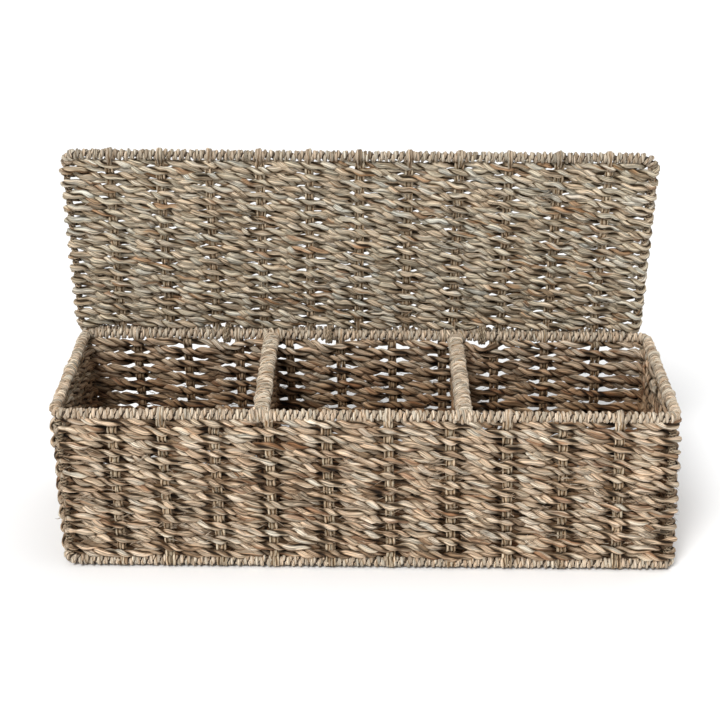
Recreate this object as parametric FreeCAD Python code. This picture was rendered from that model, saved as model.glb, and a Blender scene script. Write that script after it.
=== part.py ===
"""Hinged-lid basket with three compartments, woven in seagrass rope over a steel wire frame.

The frame: millimetres, +Z up, -Y to the front, +X to the right. The origin is the middle of the
flat underside. The lid is drawn open, as it stands on its own. Every woven panel is a plain plate
with the panel's true outside, and channels where its wires and cord stakes run.
"""
import FreeCAD
import Part
import math
import os

# Driving dimensions
RIM_WIDTH = 450.0  # between the centre lines of the two end rims
RIM_DEPTH = 160.0  # between the centre lines of the front and back rims
RIM_RISE = 120.5  # from the base frame's centre line to the rim frame's
CORNER_RADIUS = 8.0  # of every frame's centre line
WIRE_DIAMETER = 3.6
BINDING_DIAMETER = 9.0  # a frame wire with its cord binding
SEATING = 1.5  # depth to which panels and stakes sit against a bound frame

WALL_THICKNESS = 11.0
FLOOR_THICKNESS = 9.0
DIVIDER_THICKNESS = 9.0
LEFT_DIVIDER_X = -75.5
RIGHT_DIVIDER_X = 71.5
BAR_WIDTH = 12.5  # a divider's bound top bar, side to side
BAR_HEIGHT = 9.0

STAKE_WIDTH = 5.6  # two cords side by side
STAKE_THICKNESS = 2.0
WALL_STAKES = 10
WALL_STAKE_MARGIN = 40.95  # from the end rims' centre lines to the outer stakes
END_STAKES = 3
END_STAKE_MARGIN = 42.0  # from the front and back rims' centre lines to the outer stakes

LID_SHORTFALL = 4.0  # the lid's side wires stand this much closer together than the box's end rims
LID_OVERRUN = 1.0  # the lid's rims lie this much further apart than the box's front and back rims
LID_SHIFT = -6.0  # the lid sits this far to the left of the box
LID_THICKNESS = 10.0
LID_SIDE_COVER = 5.5  # rope outside the centre line of a side wire
LID_STAKES = 11
LID_STAKE_MARGIN = 33.0  # from the side wires' centre lines to the outer stakes

HINGE_RADIUS = 12.0  # from the back rim's centre line to the lid's rear rim
HINGE_DROP_DEG = 5.0  # the lid's rear rim lies this far below level with the back rim
LID_LEAN_DEG = 13.5  # the open lid leans forward of upright
FURTHER_OPEN_DEG = 25.0  # travel from there until the lid's rim bears on the back wall
TIE_GAPS = (2, 4, 7)  # each tie stands to the right of this back stake, counted from the left
TIE_SHARE = 0.78  # of the way from that stake to the next
TIE_WIDTH = 6.0
TIE_THICKNESS = 2.0
TIE_CLEARANCE = 0.35
RIM_CLEARANCE = 0.35  # between the lid's rope and the back rim, which the lid turns about

# Sizes that follow from them
HALF_WIDTH = RIM_WIDTH / 2
HALF_DEPTH = RIM_DEPTH / 2
BINDING_RADIUS = BINDING_DIAMETER / 2
WIRE_RADIUS = WIRE_DIAMETER / 2
BASE_Z = BINDING_RADIUS
RIM_Z = BASE_Z + RIM_RISE
FLOOR_BOTTOM = BASE_Z - FLOOR_THICKNESS / 2
FLOOR_TOP = BASE_Z + FLOOR_THICKNESS / 2
SEAT = BINDING_RADIUS - SEATING  # from a frame's centre line to a seated edge
WALL_HALF = WALL_THICKNESS / 2
WALL_BOTTOM = BASE_Z + SEAT
WALL_TOP = RIM_Z - SEAT
TIE_OUTER = BINDING_RADIUS + TIE_THICKNESS
LID_WIDTH = RIM_WIDTH - LID_SHORTFALL  # between the centre lines of the lid's side wires
LID_DEPTH = RIM_DEPTH + LID_OVERRUN  # between the centre lines of its front and rear rims
QUARTER = 90.0
SIDES = ("front", "right_end", "back", "left_end")


def vec(x, y, z=0.0):
    return FreeCAD.Vector(x, y, z)


def block(x0, x1, y0, y1, z0, z1):
    return Part.makeBox(x1 - x0, y1 - y0, z1 - z0, vec(x0, y0, z0))


def turned(shape, angle, axis=(0, 0, 1)):
    copy = shape.copy()
    copy.rotate(vec(0, 0), vec(*axis), angle)
    return copy


def joined(shapes):
    """Several separate solids as one shape."""
    return Part.makeCompound(list(shapes))


def corner_arc(centre, radius, start_deg, end_deg):
    """A horizontal arc about a centre, from one heading to another."""
    headings = [math.radians(a) for a in (start_deg, (start_deg + end_deg) / 2, end_deg)]
    points = [centre + vec(radius * math.cos(a), radius * math.sin(a)) for a in headings]
    return Part.Arc(*points).toShape()


def side_path(half_length, distance, z, corner_deg):
    """The centre line of a frame's front side, with corner_deg of the corner at each end."""
    reach = half_length - CORNER_RADIUS
    depth = -distance + CORNER_RADIUS
    return Part.Wire(
        [
            corner_arc(vec(-reach, depth, z), CORNER_RADIUS, 270 - corner_deg, 270),
            Part.LineSegment(vec(-reach, -distance, z), vec(reach, -distance, z)).toShape(),
            corner_arc(vec(reach, depth, z), CORNER_RADIUS, 270, 270 + corner_deg),
        ]
    )


def rod_along(path, radius):
    """A round rod along a path."""
    edge = path.Edges[0]
    start = edge.valueAt(edge.FirstParameter)
    heading = edge.tangentAt(edge.FirstParameter)
    section = Part.Wire([Part.makeCircle(radius, start, heading)])
    return path.makePipeShell([section], True, False)


def closed_frame(half_width, half_depth, z, radius):
    """A closed rectangular ring of round rod with rounded corners."""
    sides = [
        turned(rod_along(side_path(half, away, z, QUARTER / 2), radius), turn)
        for half, away, turn in frame_sides(half_width, half_depth)
    ]
    return sides[0].fuse(sides[1:]).removeSplitter()


def frame_sides(half_width, half_depth):
    """Half length, distance from the middle and turn of each side, front first."""
    return (
        (half_width, half_depth, 0),
        (half_depth, half_width, QUARTER),
        (half_width, half_depth, 2 * QUARTER),
        (half_depth, half_width, 3 * QUARTER),
    )


def rounded_slab(half_width, half_depth, radius, z0, z1):
    """A rectangular slab whose upright edges are rounded."""
    a = half_width - radius
    b = half_depth - radius
    corners = ((a, b, 0), (-a, b, QUARTER), (-a, -b, 2 * QUARTER), (a, -b, 3 * QUARTER))
    arcs = [corner_arc(vec(x, y, z0), radius, t, t + QUARTER) for x, y, t in corners]
    edges = []
    for arc, following in zip(arcs, arcs[1:] + arcs[:1]):
        edges.append(arc)
        edges.append(Part.LineSegment(arc.Vertexes[-1].Point, following.Vertexes[0].Point).toShape())
    return Part.Face(Part.Wire(edges)).extrude(vec(0, 0, z1 - z0))


def corner_point():
    """The middle of the front right corner of the box's centre line."""
    inset = CORNER_RADIUS * (1 - math.sqrt(0.5))
    return HALF_WIDTH - inset, HALF_DEPTH - inset


def corner_posts():
    """The four upright wires, between the base frame and the rim frame."""
    x, y = corner_point()
    places = {
        "front_left": (-x, -y),
        "front_right": (x, -y),
        "back_left": (-x, y),
        "back_right": (x, y),
    }
    foot = BASE_Z + WIRE_RADIUS / 2
    height = RIM_RISE - WIRE_RADIUS
    frames = base_wire.fuse(rim_wire)
    return {
        f"{name}_corner_post": Part.makeCylinder(WIRE_RADIUS, height, vec(px, py, foot)).cut(frames)
        for name, (px, py) in places.items()
    }


def cross_rod(x, width, height, frame):
    """A level rod at x from the frame's front side to its back side, with rounded edges."""
    radius = height / 2
    flat = (width - height) / 2
    start = -HALF_DEPTH
    rod = Part.makeCylinder(radius, RIM_DEPTH, vec(x - flat, start, RIM_Z), vec(0, 1, 0))
    if flat > 0:
        rod = rod.fuse(
            [
                Part.makeCylinder(radius, RIM_DEPTH, vec(x + flat, start, RIM_Z), vec(0, 1, 0)),
                block(x - flat, x + flat, start, -start, RIM_Z - radius, RIM_Z + radius),
            ]
        ).removeSplitter()
    # what is left inside the frame, without the scraps above and below its sides
    return max(rod.cut(frame).Solids, key=lambda solid: solid.Volume)


def spaced(count, width, margin):
    """Evenly spaced places about zero, the outer ones a margin in from the width's ends."""
    reach = width / 2 - margin
    return [-reach + 2 * reach * i / (count - 1) for i in range(count)]


def stake_row(places, z0, z1):
    """Upright cord stakes in the plane y = 0, at the given places along X."""
    return joined(
        block(x - STAKE_WIDTH / 2, x + STAKE_WIDTH / 2, -STAKE_THICKNESS / 2, STAKE_THICKNESS / 2, z0, z1)
        for x in places
    )


def hull(centre_a, radius_a, centre_b, radius_b, x0, x1):
    """The solid that two round rods along X and a band drawn tight round both would fill."""
    (ya, za), (yb, zb) = centre_a, centre_b
    heading = math.atan2(zb - za, yb - ya)
    spread = math.acos((radius_a - radius_b) / math.hypot(yb - ya, zb - za))

    def at(y, z, radius, angle):
        return vec(x0, y + radius * math.cos(angle), z + radius * math.sin(angle))

    a_start = at(ya, za, radius_a, heading + spread)
    a_middle = at(ya, za, radius_a, heading + math.pi)
    a_end = at(ya, za, radius_a, heading - spread)
    b_start = at(yb, zb, radius_b, heading - spread)
    b_middle = at(yb, zb, radius_b, heading)
    b_end = at(yb, zb, radius_b, heading + spread)
    outline = Part.Wire(
        [
            Part.Arc(a_start, a_middle, a_end).toShape(),
            Part.LineSegment(a_end, b_start).toShape(),
            Part.Arc(b_start, b_middle, b_end).toShape(),
            Part.LineSegment(b_end, a_start).toShape(),
        ]
    )
    return Part.Face(outline).extrude(vec(x1 - x0, 0, 0))


def lid_rim_at(turn_deg):
    """Where the centre of the lid's rear rim is, in Y and Z, when the lid has turned from its drawn place."""
    angle = math.radians(turn_deg - HINGE_DROP_DEG)
    return HALF_DEPTH + HINGE_RADIUS * math.cos(angle), RIM_Z + HINGE_RADIUS * math.sin(angle)


def on_lid(shape):
    """From the lid drawn flat about its own middle to its open place on the box."""
    rear_y, rear_z = lid_rim_at(0)
    copy = shape.copy()
    copy.translate(vec(0, LID_DEPTH / 2))
    copy = turned(copy, QUARTER + LID_LEAN_DEG, (1, 0, 0))
    copy.translate(vec(LID_SHIFT, rear_y, rear_z))
    return copy


def export(name, shape):
    shape.exportStep(f"parts/{name}.step")


os.makedirs("parts", exist_ok=True)

wall_places = spaced(WALL_STAKES, RIM_WIDTH, WALL_STAKE_MARGIN)
end_places = spaced(END_STAKES, RIM_DEPTH, END_STAKE_MARGIN)
tie_places = [
    wall_places[gap - 1] + TIE_SHARE * (wall_places[gap] - wall_places[gap - 1]) for gap in TIE_GAPS
]

# Wire frames of the box
base_wire = closed_frame(HALF_WIDTH, HALF_DEPTH, BASE_Z, WIRE_RADIUS)
rim_wire = closed_frame(HALF_WIDTH, HALF_DEPTH, RIM_Z, WIRE_RADIUS)
export("base_frame_wire", base_wire)
export("rim_frame_wire", rim_wire)
posts = corner_posts()
for post_name, post in posts.items():
    export(post_name, post)
post_group = joined(posts.values())

# Divider bars: a wire from front rim to back rim, and its binding
rim_solid = closed_frame(HALF_WIDTH, HALF_DEPTH, RIM_Z, BINDING_RADIUS)
dividers = (("left", LEFT_DIVIDER_X), ("right", RIGHT_DIVIDER_X))
bar_wires = {name: cross_rod(x, WIRE_DIAMETER, WIRE_DIAMETER, rim_wire) for name, x in dividers}
bar_solids = {name: cross_rod(x, BAR_WIDTH, BAR_HEIGHT, rim_solid) for name, x in dividers}
bar_wire_group = joined(bar_wires.values())
bar_group = joined(bar_solids.values())
for name, _ in dividers:
    export(f"{name}_divider_bar_wire", bar_wires[name])
    export(f"{name}_divider_bar_binding", bar_solids[name].cut(bar_wires[name]))

# Cord bindings on the two frames, mitred at the corners
base_solid = closed_frame(HALF_WIDTH, HALF_DEPTH, BASE_Z, BINDING_RADIUS)
for level, z, wire in (("base", BASE_Z, base_wire), ("rim", RIM_Z, rim_wire)):
    for side, (half, away, turn) in zip(SIDES, frame_sides(HALF_WIDTH, HALF_DEPTH)):
        binding = turned(rod_along(side_path(half, away, z, QUARTER / 2), BINDING_RADIUS), turn)
        binding = binding.cut(wire).cut(post_group)
        if level == "rim":
            binding = binding.cut(bar_wire_group)
        export(f"{side}_{level}_binding", binding)

# Floor, between the base bindings
FLOOR_CORNER = CORNER_RADIUS - SEAT
floor_stakes = joined(
    block(
        x - STAKE_WIDTH / 2,
        x + STAKE_WIDTH / 2,
        -HALF_DEPTH + SEAT,
        HALF_DEPTH - SEAT,
        BASE_Z - STAKE_THICKNESS / 2,
        BASE_Z + STAKE_THICKNESS / 2,
    )
    for x in wall_places
).cut(base_solid)
floor_slab = rounded_slab(HALF_WIDTH - SEAT, HALF_DEPTH - SEAT, FLOOR_CORNER, FLOOR_BOTTOM, FLOOR_TOP)
floor_slab = floor_slab.cut(base_solid)
export("floor_stakes", floor_stakes)
export("floor_weave", floor_slab.cut(floor_stakes))

# Room that the hinge ties sweep, from the lid's open limit to its drawn place
tie_room = joined(
    hull(
        (HALF_DEPTH, RIM_Z),
        TIE_OUTER + 2 * TIE_CLEARANCE,
        lid_rim_at(turn_deg),
        TIE_OUTER + TIE_CLEARANCE,
        x - TIE_WIDTH / 2 - TIE_CLEARANCE,
        x + TIE_WIDTH / 2 + TIE_CLEARANCE,
    )
    for turn_deg in (-FURTHER_OPEN_DEG, 0.0)
    for x in tie_places
)

# Walls, mitred at the corner posts
shell = rounded_slab(
    HALF_WIDTH + WALL_HALF, HALF_DEPTH + WALL_HALF, CORNER_RADIUS + WALL_HALF, WALL_BOTTOM, WALL_TOP
).cut(
    rounded_slab(
        HALF_WIDTH - WALL_HALF, HALF_DEPTH - WALL_HALF, CORNER_RADIUS - WALL_HALF, WALL_BOTTOM, WALL_TOP
    )
)
shell = shell.cut(base_solid).cut(rim_solid).cut(post_group).cut(floor_slab)
shell = shell.cut(bar_group)
stake_places = {"front": wall_places, "back": wall_places, "left_end": end_places, "right_end": end_places}
for side, (half, away, turn) in zip(SIDES, frame_sides(HALF_WIDTH, HALF_DEPTH)):
    inner_x = half - CORNER_RADIUS
    inner_y = -away + CORNER_RADIUS
    reach = CORNER_RADIUS + WALL_THICKNESS
    corners = [
        vec(-inner_x, inner_y, WALL_BOTTOM),
        vec(-inner_x - reach, inner_y - reach, WALL_BOTTOM),
        vec(inner_x + reach, inner_y - reach, WALL_BOTTOM),
        vec(inner_x, inner_y, WALL_BOTTOM),
    ]
    outline = Part.makePolygon(corners + corners[:1])
    wedge = turned(Part.Face(outline).extrude(vec(0, 0, WALL_TOP - WALL_BOTTOM)), turn)
    stakes = stake_row(stake_places[side], WALL_BOTTOM - SEATING / 2, WALL_TOP + SEATING / 2)
    stakes.translate(vec(0, -away))
    stakes = turned(stakes, turn).cut(base_solid).cut(rim_solid).cut(bar_group)
    wall = shell.common(wedge).cut(stakes)
    if side == "back":
        wall = wall.cut(tie_room)
    export(f"{side}_wall_stakes" if "end" not in side else f"{side}_stakes", stakes)
    export(f"{side}_wall_weave" if "end" not in side else f"{side}_weave", wall)

# Dividers, between the front and back walls
for name, x in dividers:
    inside = HALF_DEPTH - WALL_HALF
    stakes = turned(stake_row(end_places, FLOOR_TOP, WALL_TOP + SEATING / 2), QUARTER)
    stakes.translate(vec(x, 0))
    stakes = stakes.cut(bar_solids[name])
    half = DIVIDER_THICKNESS / 2
    panel = block(x - half, x + half, -inside, inside, FLOOR_TOP, WALL_TOP)
    export(f"{name}_divider_stakes", stakes)
    export(f"{name}_divider_weave", panel.cut(bar_solids[name]).cut(stakes))

# Lid: frame wire, front and rear bindings round the corners, stakes, and the rope panel
lid_half_width = LID_WIDTH / 2
lid_half_depth = LID_DEPTH / 2
lid_wire = closed_frame(lid_half_width, lid_half_depth, 0, WIRE_RADIUS)
export("lid_frame_wire", on_lid(lid_wire))
lid_bindings = []
for name, turn in (("rear", 0), ("front", 2 * QUARTER)):
    rod = turned(rod_along(side_path(lid_half_width, lid_half_depth, 0, QUARTER), BINDING_RADIUS), turn)
    lid_bindings.append(rod)
    export(f"lid_{name}_binding", on_lid(rod.cut(lid_wire)))
lid_stakes = joined(
    block(
        x - STAKE_WIDTH / 2,
        x + STAKE_WIDTH / 2,
        -lid_half_depth + SEAT - SEATING / 2,
        lid_half_depth - SEAT + SEATING / 2,
        -STAKE_THICKNESS / 2,
        STAKE_THICKNESS / 2,
    )
    for x in spaced(LID_STAKES, LID_WIDTH, LID_STAKE_MARGIN)
)
cover = lid_half_width + LID_SIDE_COVER
side_run = lid_half_depth - CORNER_RADIUS
core_half_width = lid_half_width - SEAT
core_half_depth = lid_half_depth - SEAT
lid_half = LID_THICKNESS / 2
lid_panel = block(-cover, cover, -side_run, side_run, -lid_half, lid_half).fuse(
    block(-core_half_width, core_half_width, -core_half_depth, core_half_depth, -lid_half, lid_half)
)
for rod in lid_bindings:
    lid_stakes = lid_stakes.cut(rod)
    lid_panel = lid_panel.cut(rod)
lid_panel = on_lid(lid_panel.cut(lid_stakes).cut(lid_wire))
rim_room = Part.makeCylinder(
    BINDING_RADIUS + RIM_CLEARANCE, RIM_WIDTH, vec(-HALF_WIDTH, HALF_DEPTH, RIM_Z), vec(1, 0, 0)
)
lid_panel = lid_panel.cut(rim_room)
export("lid_stakes", on_lid(lid_stakes))

# Hinge ties: tight round the lid's rear rim, loose round the back rim of the box
for number, x in enumerate(tie_places, start=1):
    ends = (x - TIE_WIDTH / 2, x + TIE_WIDTH / 2)
    back_rim = (HALF_DEPTH, RIM_Z)
    lid_rim = lid_rim_at(0)
    filled = hull(back_rim, TIE_OUTER + TIE_CLEARANCE, lid_rim, TIE_OUTER, *ends)
    hole = hull(back_rim, BINDING_RADIUS + TIE_CLEARANCE, lid_rim, BINDING_RADIUS, *ends)
    lid_panel = lid_panel.cut(filled)
    export(f"hinge_tie_{number}", filled.cut(hole))
export("lid_weave", lid_panel.removeSplitter())
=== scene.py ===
"""Finished look of a hinged-lid, three-section seagrass basket, built on its CAD frame."""

import logging
import math
from dataclasses import dataclass, field
from enum import Enum
from typing import Callable

import bpy
import numpy as np
from mathutils import Matrix, Vector


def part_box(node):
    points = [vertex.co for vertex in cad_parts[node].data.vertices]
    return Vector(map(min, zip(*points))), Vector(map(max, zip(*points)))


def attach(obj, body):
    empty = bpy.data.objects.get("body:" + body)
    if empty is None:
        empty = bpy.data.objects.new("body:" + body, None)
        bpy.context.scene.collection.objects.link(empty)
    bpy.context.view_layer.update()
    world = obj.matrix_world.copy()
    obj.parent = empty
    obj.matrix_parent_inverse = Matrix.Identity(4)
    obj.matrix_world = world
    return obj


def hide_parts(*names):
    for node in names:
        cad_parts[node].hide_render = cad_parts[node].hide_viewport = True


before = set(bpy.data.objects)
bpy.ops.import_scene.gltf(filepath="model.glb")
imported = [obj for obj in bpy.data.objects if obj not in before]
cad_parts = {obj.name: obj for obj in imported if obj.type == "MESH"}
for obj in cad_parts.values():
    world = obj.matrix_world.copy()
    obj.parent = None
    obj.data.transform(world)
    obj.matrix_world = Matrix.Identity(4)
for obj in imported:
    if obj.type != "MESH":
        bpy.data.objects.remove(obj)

LOG = logging.getLogger("basket")
MM = 0.001
UP = np.array((0.0, 0.0, 1.0))
RIGHT = np.array((1.0, 0.0, 0.0))
AHEAD = np.array((0.0, 1.0, 0.0))


class Slot(Enum):
    """The record's finishes."""

    ROPE = "seagrass_rope"
    CORD = "seagrass_cord"
    WIRE = "frame_wire"


class Body(Enum):
    """The moving bodies."""

    BOX = "box"
    LID = "lid"


@dataclass(frozen=True)
class CordStyle:
    """How a laid cord is made up, in metres."""

    strand_radius: float
    offset: float
    lay: float
    section: float
    strands: int = 2
    sides: int = 8
    unevenness: float = 0.16
    lumps: float = 0.0


ROPE = CordStyle(2.22 * MM, 1.62 * MM, 22.5 * MM, 2.2 * MM, unevenness=0.2, lumps=1.3 * MM)
BINDING_CORD = CordStyle(1.38 * MM, 0.85 * MM, 11.5 * MM, 1.5 * MM, sides=6, lumps=0.5 * MM)
STAKE_CORD = CordStyle(1.05 * MM, 0.85 * MM, 13 * MM, 1.5 * MM, sides=6, lumps=0.2 * MM)
TIE_CORD = CordStyle(0.58 * MM, 0.5 * MM, 6 * MM, 1.0 * MM, sides=6)
FIBRE = CordStyle(0.24 * MM, 0.0, 10 * MM, 1.6 * MM, strands=1, sides=5, unevenness=0.3)
BARE_WIRE = CordStyle(1.8 * MM, 0.0, 10 * MM, 4 * MM, strands=1, sides=10, unevenness=0.0)


GOLDEN = 0.618  # steps turns and tones so that neighbouring rows never match
CORD_GAP = 1.75 * MM  # from a stake's middle to each of its two cords
VECTOR = "FLOAT_VECTOR"


@dataclass
class Route:
    """The line that one cord follows.

    points are its places, side the direction in which its first strand starts, turns how often the
    strands have gone round by then, girth its thickness against the style's, and tuck which way its
    hidden side faces, as long as it is hidden, for the painted shade that darkens that side.
    """

    points: np.ndarray
    side: np.ndarray
    turns: np.ndarray
    tone: float
    along: np.ndarray | None = None
    girth: np.ndarray | None = None
    tuck: np.ndarray | None = None

    def filled(self) -> "Route":
        """The same route with its optional values worked out.

        Returns:
            Itself.
        """
        if self.along is None:
            self.along = travel(self.points) + self.tone * 50.0
        if self.girth is None:
            self.girth = np.ones(len(self.points))
        if self.tuck is None:
            self.tuck = np.zeros_like(self.points)
        return self


def travel(points: np.ndarray) -> np.ndarray:
    """The length of a line up to each of its points."""
    steps = np.linalg.norm(np.diff(points, axis=0), axis=1)
    return np.concatenate(([0.0], np.cumsum(steps)))


def unit(vectors: np.ndarray) -> np.ndarray:
    """The vectors at length one."""
    return vectors / np.linalg.norm(vectors, axis=-1, keepdims=True)


def columns(*values: object) -> np.ndarray:
    """Points from their coordinates, each an array or a single number."""
    return np.stack(np.broadcast_arrays(*values), axis=1)


def fraction(value: float) -> float:
    """The part of a number after its point."""
    return math.modf(value)[0]


def nearness(place: np.ndarray, spot: float, spread: float) -> np.ndarray:
    """One at a spot, fading to nothing on both sides of it."""
    return np.exp(-(((place - spot) / spread) ** 2))


def arc(
    middle: tuple[float, float], reach: tuple[float, float], degrees: tuple[float, ...]
) -> list[tuple[float, float]]:
    """Points round a middle at the given angles."""
    angles = [math.radians(value) for value in degrees]
    return [(middle[0] + reach[0] * math.cos(a), middle[1] + reach[1] * math.sin(a)) for a in angles]


def waver(
    place: np.ndarray, period: float, seed: float, waves: tuple[int, ...] = (3, 7, 12, 19)
) -> np.ndarray:
    """A smooth, seeded, repeating unevenness about zero.

    Args:
        place: where along the cord.
        period: the length after which it repeats.
        seed: sets it apart from the others.
        waves: how many waves fit in a period.

    Returns:
        The unevenness at each place.
    """
    total = np.zeros_like(place, dtype=float)
    for order, count in enumerate(waves):
        shift = math.tau * fraction(math.sin(seed * 12.9898 + order * 78.233) * 43758.5453)
        total = total + np.sin(math.tau * count * place / period + shift)
    return total / math.sqrt(len(waves))


def pinched(place: np.ndarray, stakes: np.ndarray, row: int, pinch: float = 0.34) -> np.ndarray:
    """How thick a row is: drawn tight beside its stakes, and thin in a few other places.

    Args:
        place: distances along the row.
        stakes: where the stakes are.
        row: the row's number.
        pinch: how much of its thickness it loses beside a stake.

    Returns:
        The row's thickness against its style's at each place.
    """
    away = np.abs(place[:, None] - stakes[None, :]).min(axis=1)
    girth = 1.03 - pinch * nearness(away, 6.0 * MM, 3.8 * MM)
    chance = np.random.default_rng(row + 400)
    for spot in chance.uniform(place.min(), place.max(), max(1, int(np.ptp(place) / 0.16))):
        girth = girth - chance.uniform(0.1, 0.3) * nearness(place, spot, 5 * MM)
    return np.clip(girth, 0.6, 1.1)


def softened(knots: list[tuple[float, float]], step: float = 1.3 * MM) -> np.ndarray:
    """A smooth line in a plane through the knots.

    Args:
        knots: the places that it passes through.
        step: about how far apart its points are.

    Returns:
        Its points.
    """
    ends = np.array(knots, dtype=float)
    padded = np.vstack((2 * ends[0] - ends[1], ends, 2 * ends[-1] - ends[-2]))
    line = []
    for before, start, stop, after in zip(padded, padded[1:], padded[2:], padded[3:]):
        count = max(2, int(np.linalg.norm(stop - start) / step))
        t = np.linspace(0, 1, count, endpoint=False)[:, None]
        bend = (2 * before - 5 * start + 4 * stop - after) * t**2
        twist = (3 * start - before - 3 * stop + after) * t**3
        line.append(0.5 * (2 * start + (stop - before) * t + bend + twist))
    line.append(ends[-1:])
    return np.vstack(line)


class NodeBench:
    """Short ways to put together a node tree."""

    def __init__(self, tree: bpy.types.NodeTree) -> None:
        """Start on a tree."""
        self.tree = tree
        self.count = 0

    def add(self, kind: str, inputs: dict | None = None, **settings: object) -> bpy.types.Node:
        """A new node.

        Args:
            kind: the node's type.
            inputs: sockets by name or number, each with a value or the socket that feeds it.
            settings: the node's own options.

        Returns:
            The node.
        """
        node = self.tree.nodes.new(kind)
        node.location = (180 * (self.count % 12), -220 * (self.count // 12))
        self.count += 1
        for name, value in settings.items():
            setattr(node, name, value)
        for name, value in (inputs or {}).items():
            if isinstance(value, bpy.types.NodeSocket):
                self.tree.links.new(value, node.inputs[name])
            else:
                node.inputs[name].default_value = value
        return node

    def math(self, operation: str, *values: object) -> bpy.types.NodeSocket:
        """The result of an operation on numbers or sockets."""
        return self.add("ShaderNodeMath", dict(enumerate(values)), operation=operation).outputs[0]

    def plus(self, first: object, second: object) -> bpy.types.NodeSocket:
        """The sum of two values."""
        return self.math("ADD", first, second)

    def minus(self, first: object, second: object) -> bpy.types.NodeSocket:
        """One value less another."""
        return self.math("SUBTRACT", first, second)

    def times(self, first: object, second: object) -> bpy.types.NodeSocket:
        """The product of two values."""
        return self.math("MULTIPLY", first, second)

    def vector(self, operation: str, *values: object) -> bpy.types.NodeSocket:
        """The result of an operation on vectors: a vector, or a number if it gives one."""
        node = self.add("ShaderNodeVectorMath", dict(enumerate(values)), operation=operation)
        return node.outputs["Value" if operation in ("DISTANCE", "DOT_PRODUCT") else "Vector"]

    def scaled(self, vector: bpy.types.NodeSocket, scale: object) -> bpy.types.NodeSocket:
        """A vector made longer or shorter."""
        return self.add("ShaderNodeVectorMath", {0: vector, "Scale": scale}, operation="SCALE").outputs[0]

    def shifted(self, vector: bpy.types.NodeSocket, far: bpy.types.NodeSocket) -> bpy.types.NodeSocket:
        """A vector moved along z."""
        return self.vector("ADD", vector, self.add("ShaderNodeCombineXYZ", {"Z": far}).outputs[0])

    def ramp(
        self, value: object, low: float, high: float, to_low: float = 0.0, to_high: float = 1.0
    ) -> bpy.types.NodeSocket:
        """A value carried smoothly from one range to another, and held at its ends."""
        inputs = {0: value, 1: low, 2: high, 3: to_low, 4: to_high}
        return self.add("ShaderNodeMapRange", inputs, interpolation_type="SMOOTHSTEP").outputs[0]

    def blend(self, share: object, first: object, second: object, mode: str = "MIX") -> bpy.types.NodeSocket:
        """Two colours mixed."""
        inputs = {0: share, 6: first, 7: second}
        return self.add("ShaderNodeMix", inputs, data_type="RGBA", blend_type=mode).outputs[2]

    def noise(
        self, vector: bpy.types.NodeSocket, detail: float = 2.0, rough: float = 0.5
    ) -> bpy.types.NodeSocket:
        """Noise at scale one over a vector."""
        inputs = {"Vector": vector, "Scale": 1.0, "Detail": detail, "Roughness": rough}
        return self.add("ShaderNodeTexNoise", inputs).outputs[0]

    def surface(self, colour: object, rough: object, height: object, strength: float, deep: float) -> None:
        """Feed a new material's shader, with bumps from a height.

        Args:
            colour: the shader's colour.
            rough: its roughness.
            height: the height that its bumps come from.
            strength: how strong the bumps are.
            deep: how deep they are, in metres.
        """
        bump = self.add("ShaderNodeBump", {"Height": height, "Strength": strength, "Distance": deep})
        shader = self.tree.nodes["Principled BSDF"].inputs
        for name, socket in (("Base Color", colour), ("Roughness", rough), ("Normal", bump.outputs[0])):
            self.tree.links.new(socket, shader[name])

    def attribute(self, name: str) -> bpy.types.Node:
        """A mesh's stored value, as a material reads it."""
        return self.add("ShaderNodeAttribute", attribute_name=name)

    def store(
        self, geometry: bpy.types.NodeSocket, name: str, value: bpy.types.NodeSocket, kind: str = "FLOAT"
    ) -> bpy.types.NodeSocket:
        """The geometry with a value stored on its points by name."""
        inputs = {"Name": name, "Geometry": geometry, "Value": value}
        return self.add(
            "GeometryNodeStoreNamedAttribute", inputs, data_type=kind, domain="POINT"
        ).outputs[0]

    def named(self, name: str, kind: str = "FLOAT") -> bpy.types.NodeSocket:
        """A stored value, read back by name."""
        node = self.add("GeometryNodeInputNamedAttribute", {"Name": name}, data_type=kind)
        return node.outputs["Attribute"]


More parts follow.
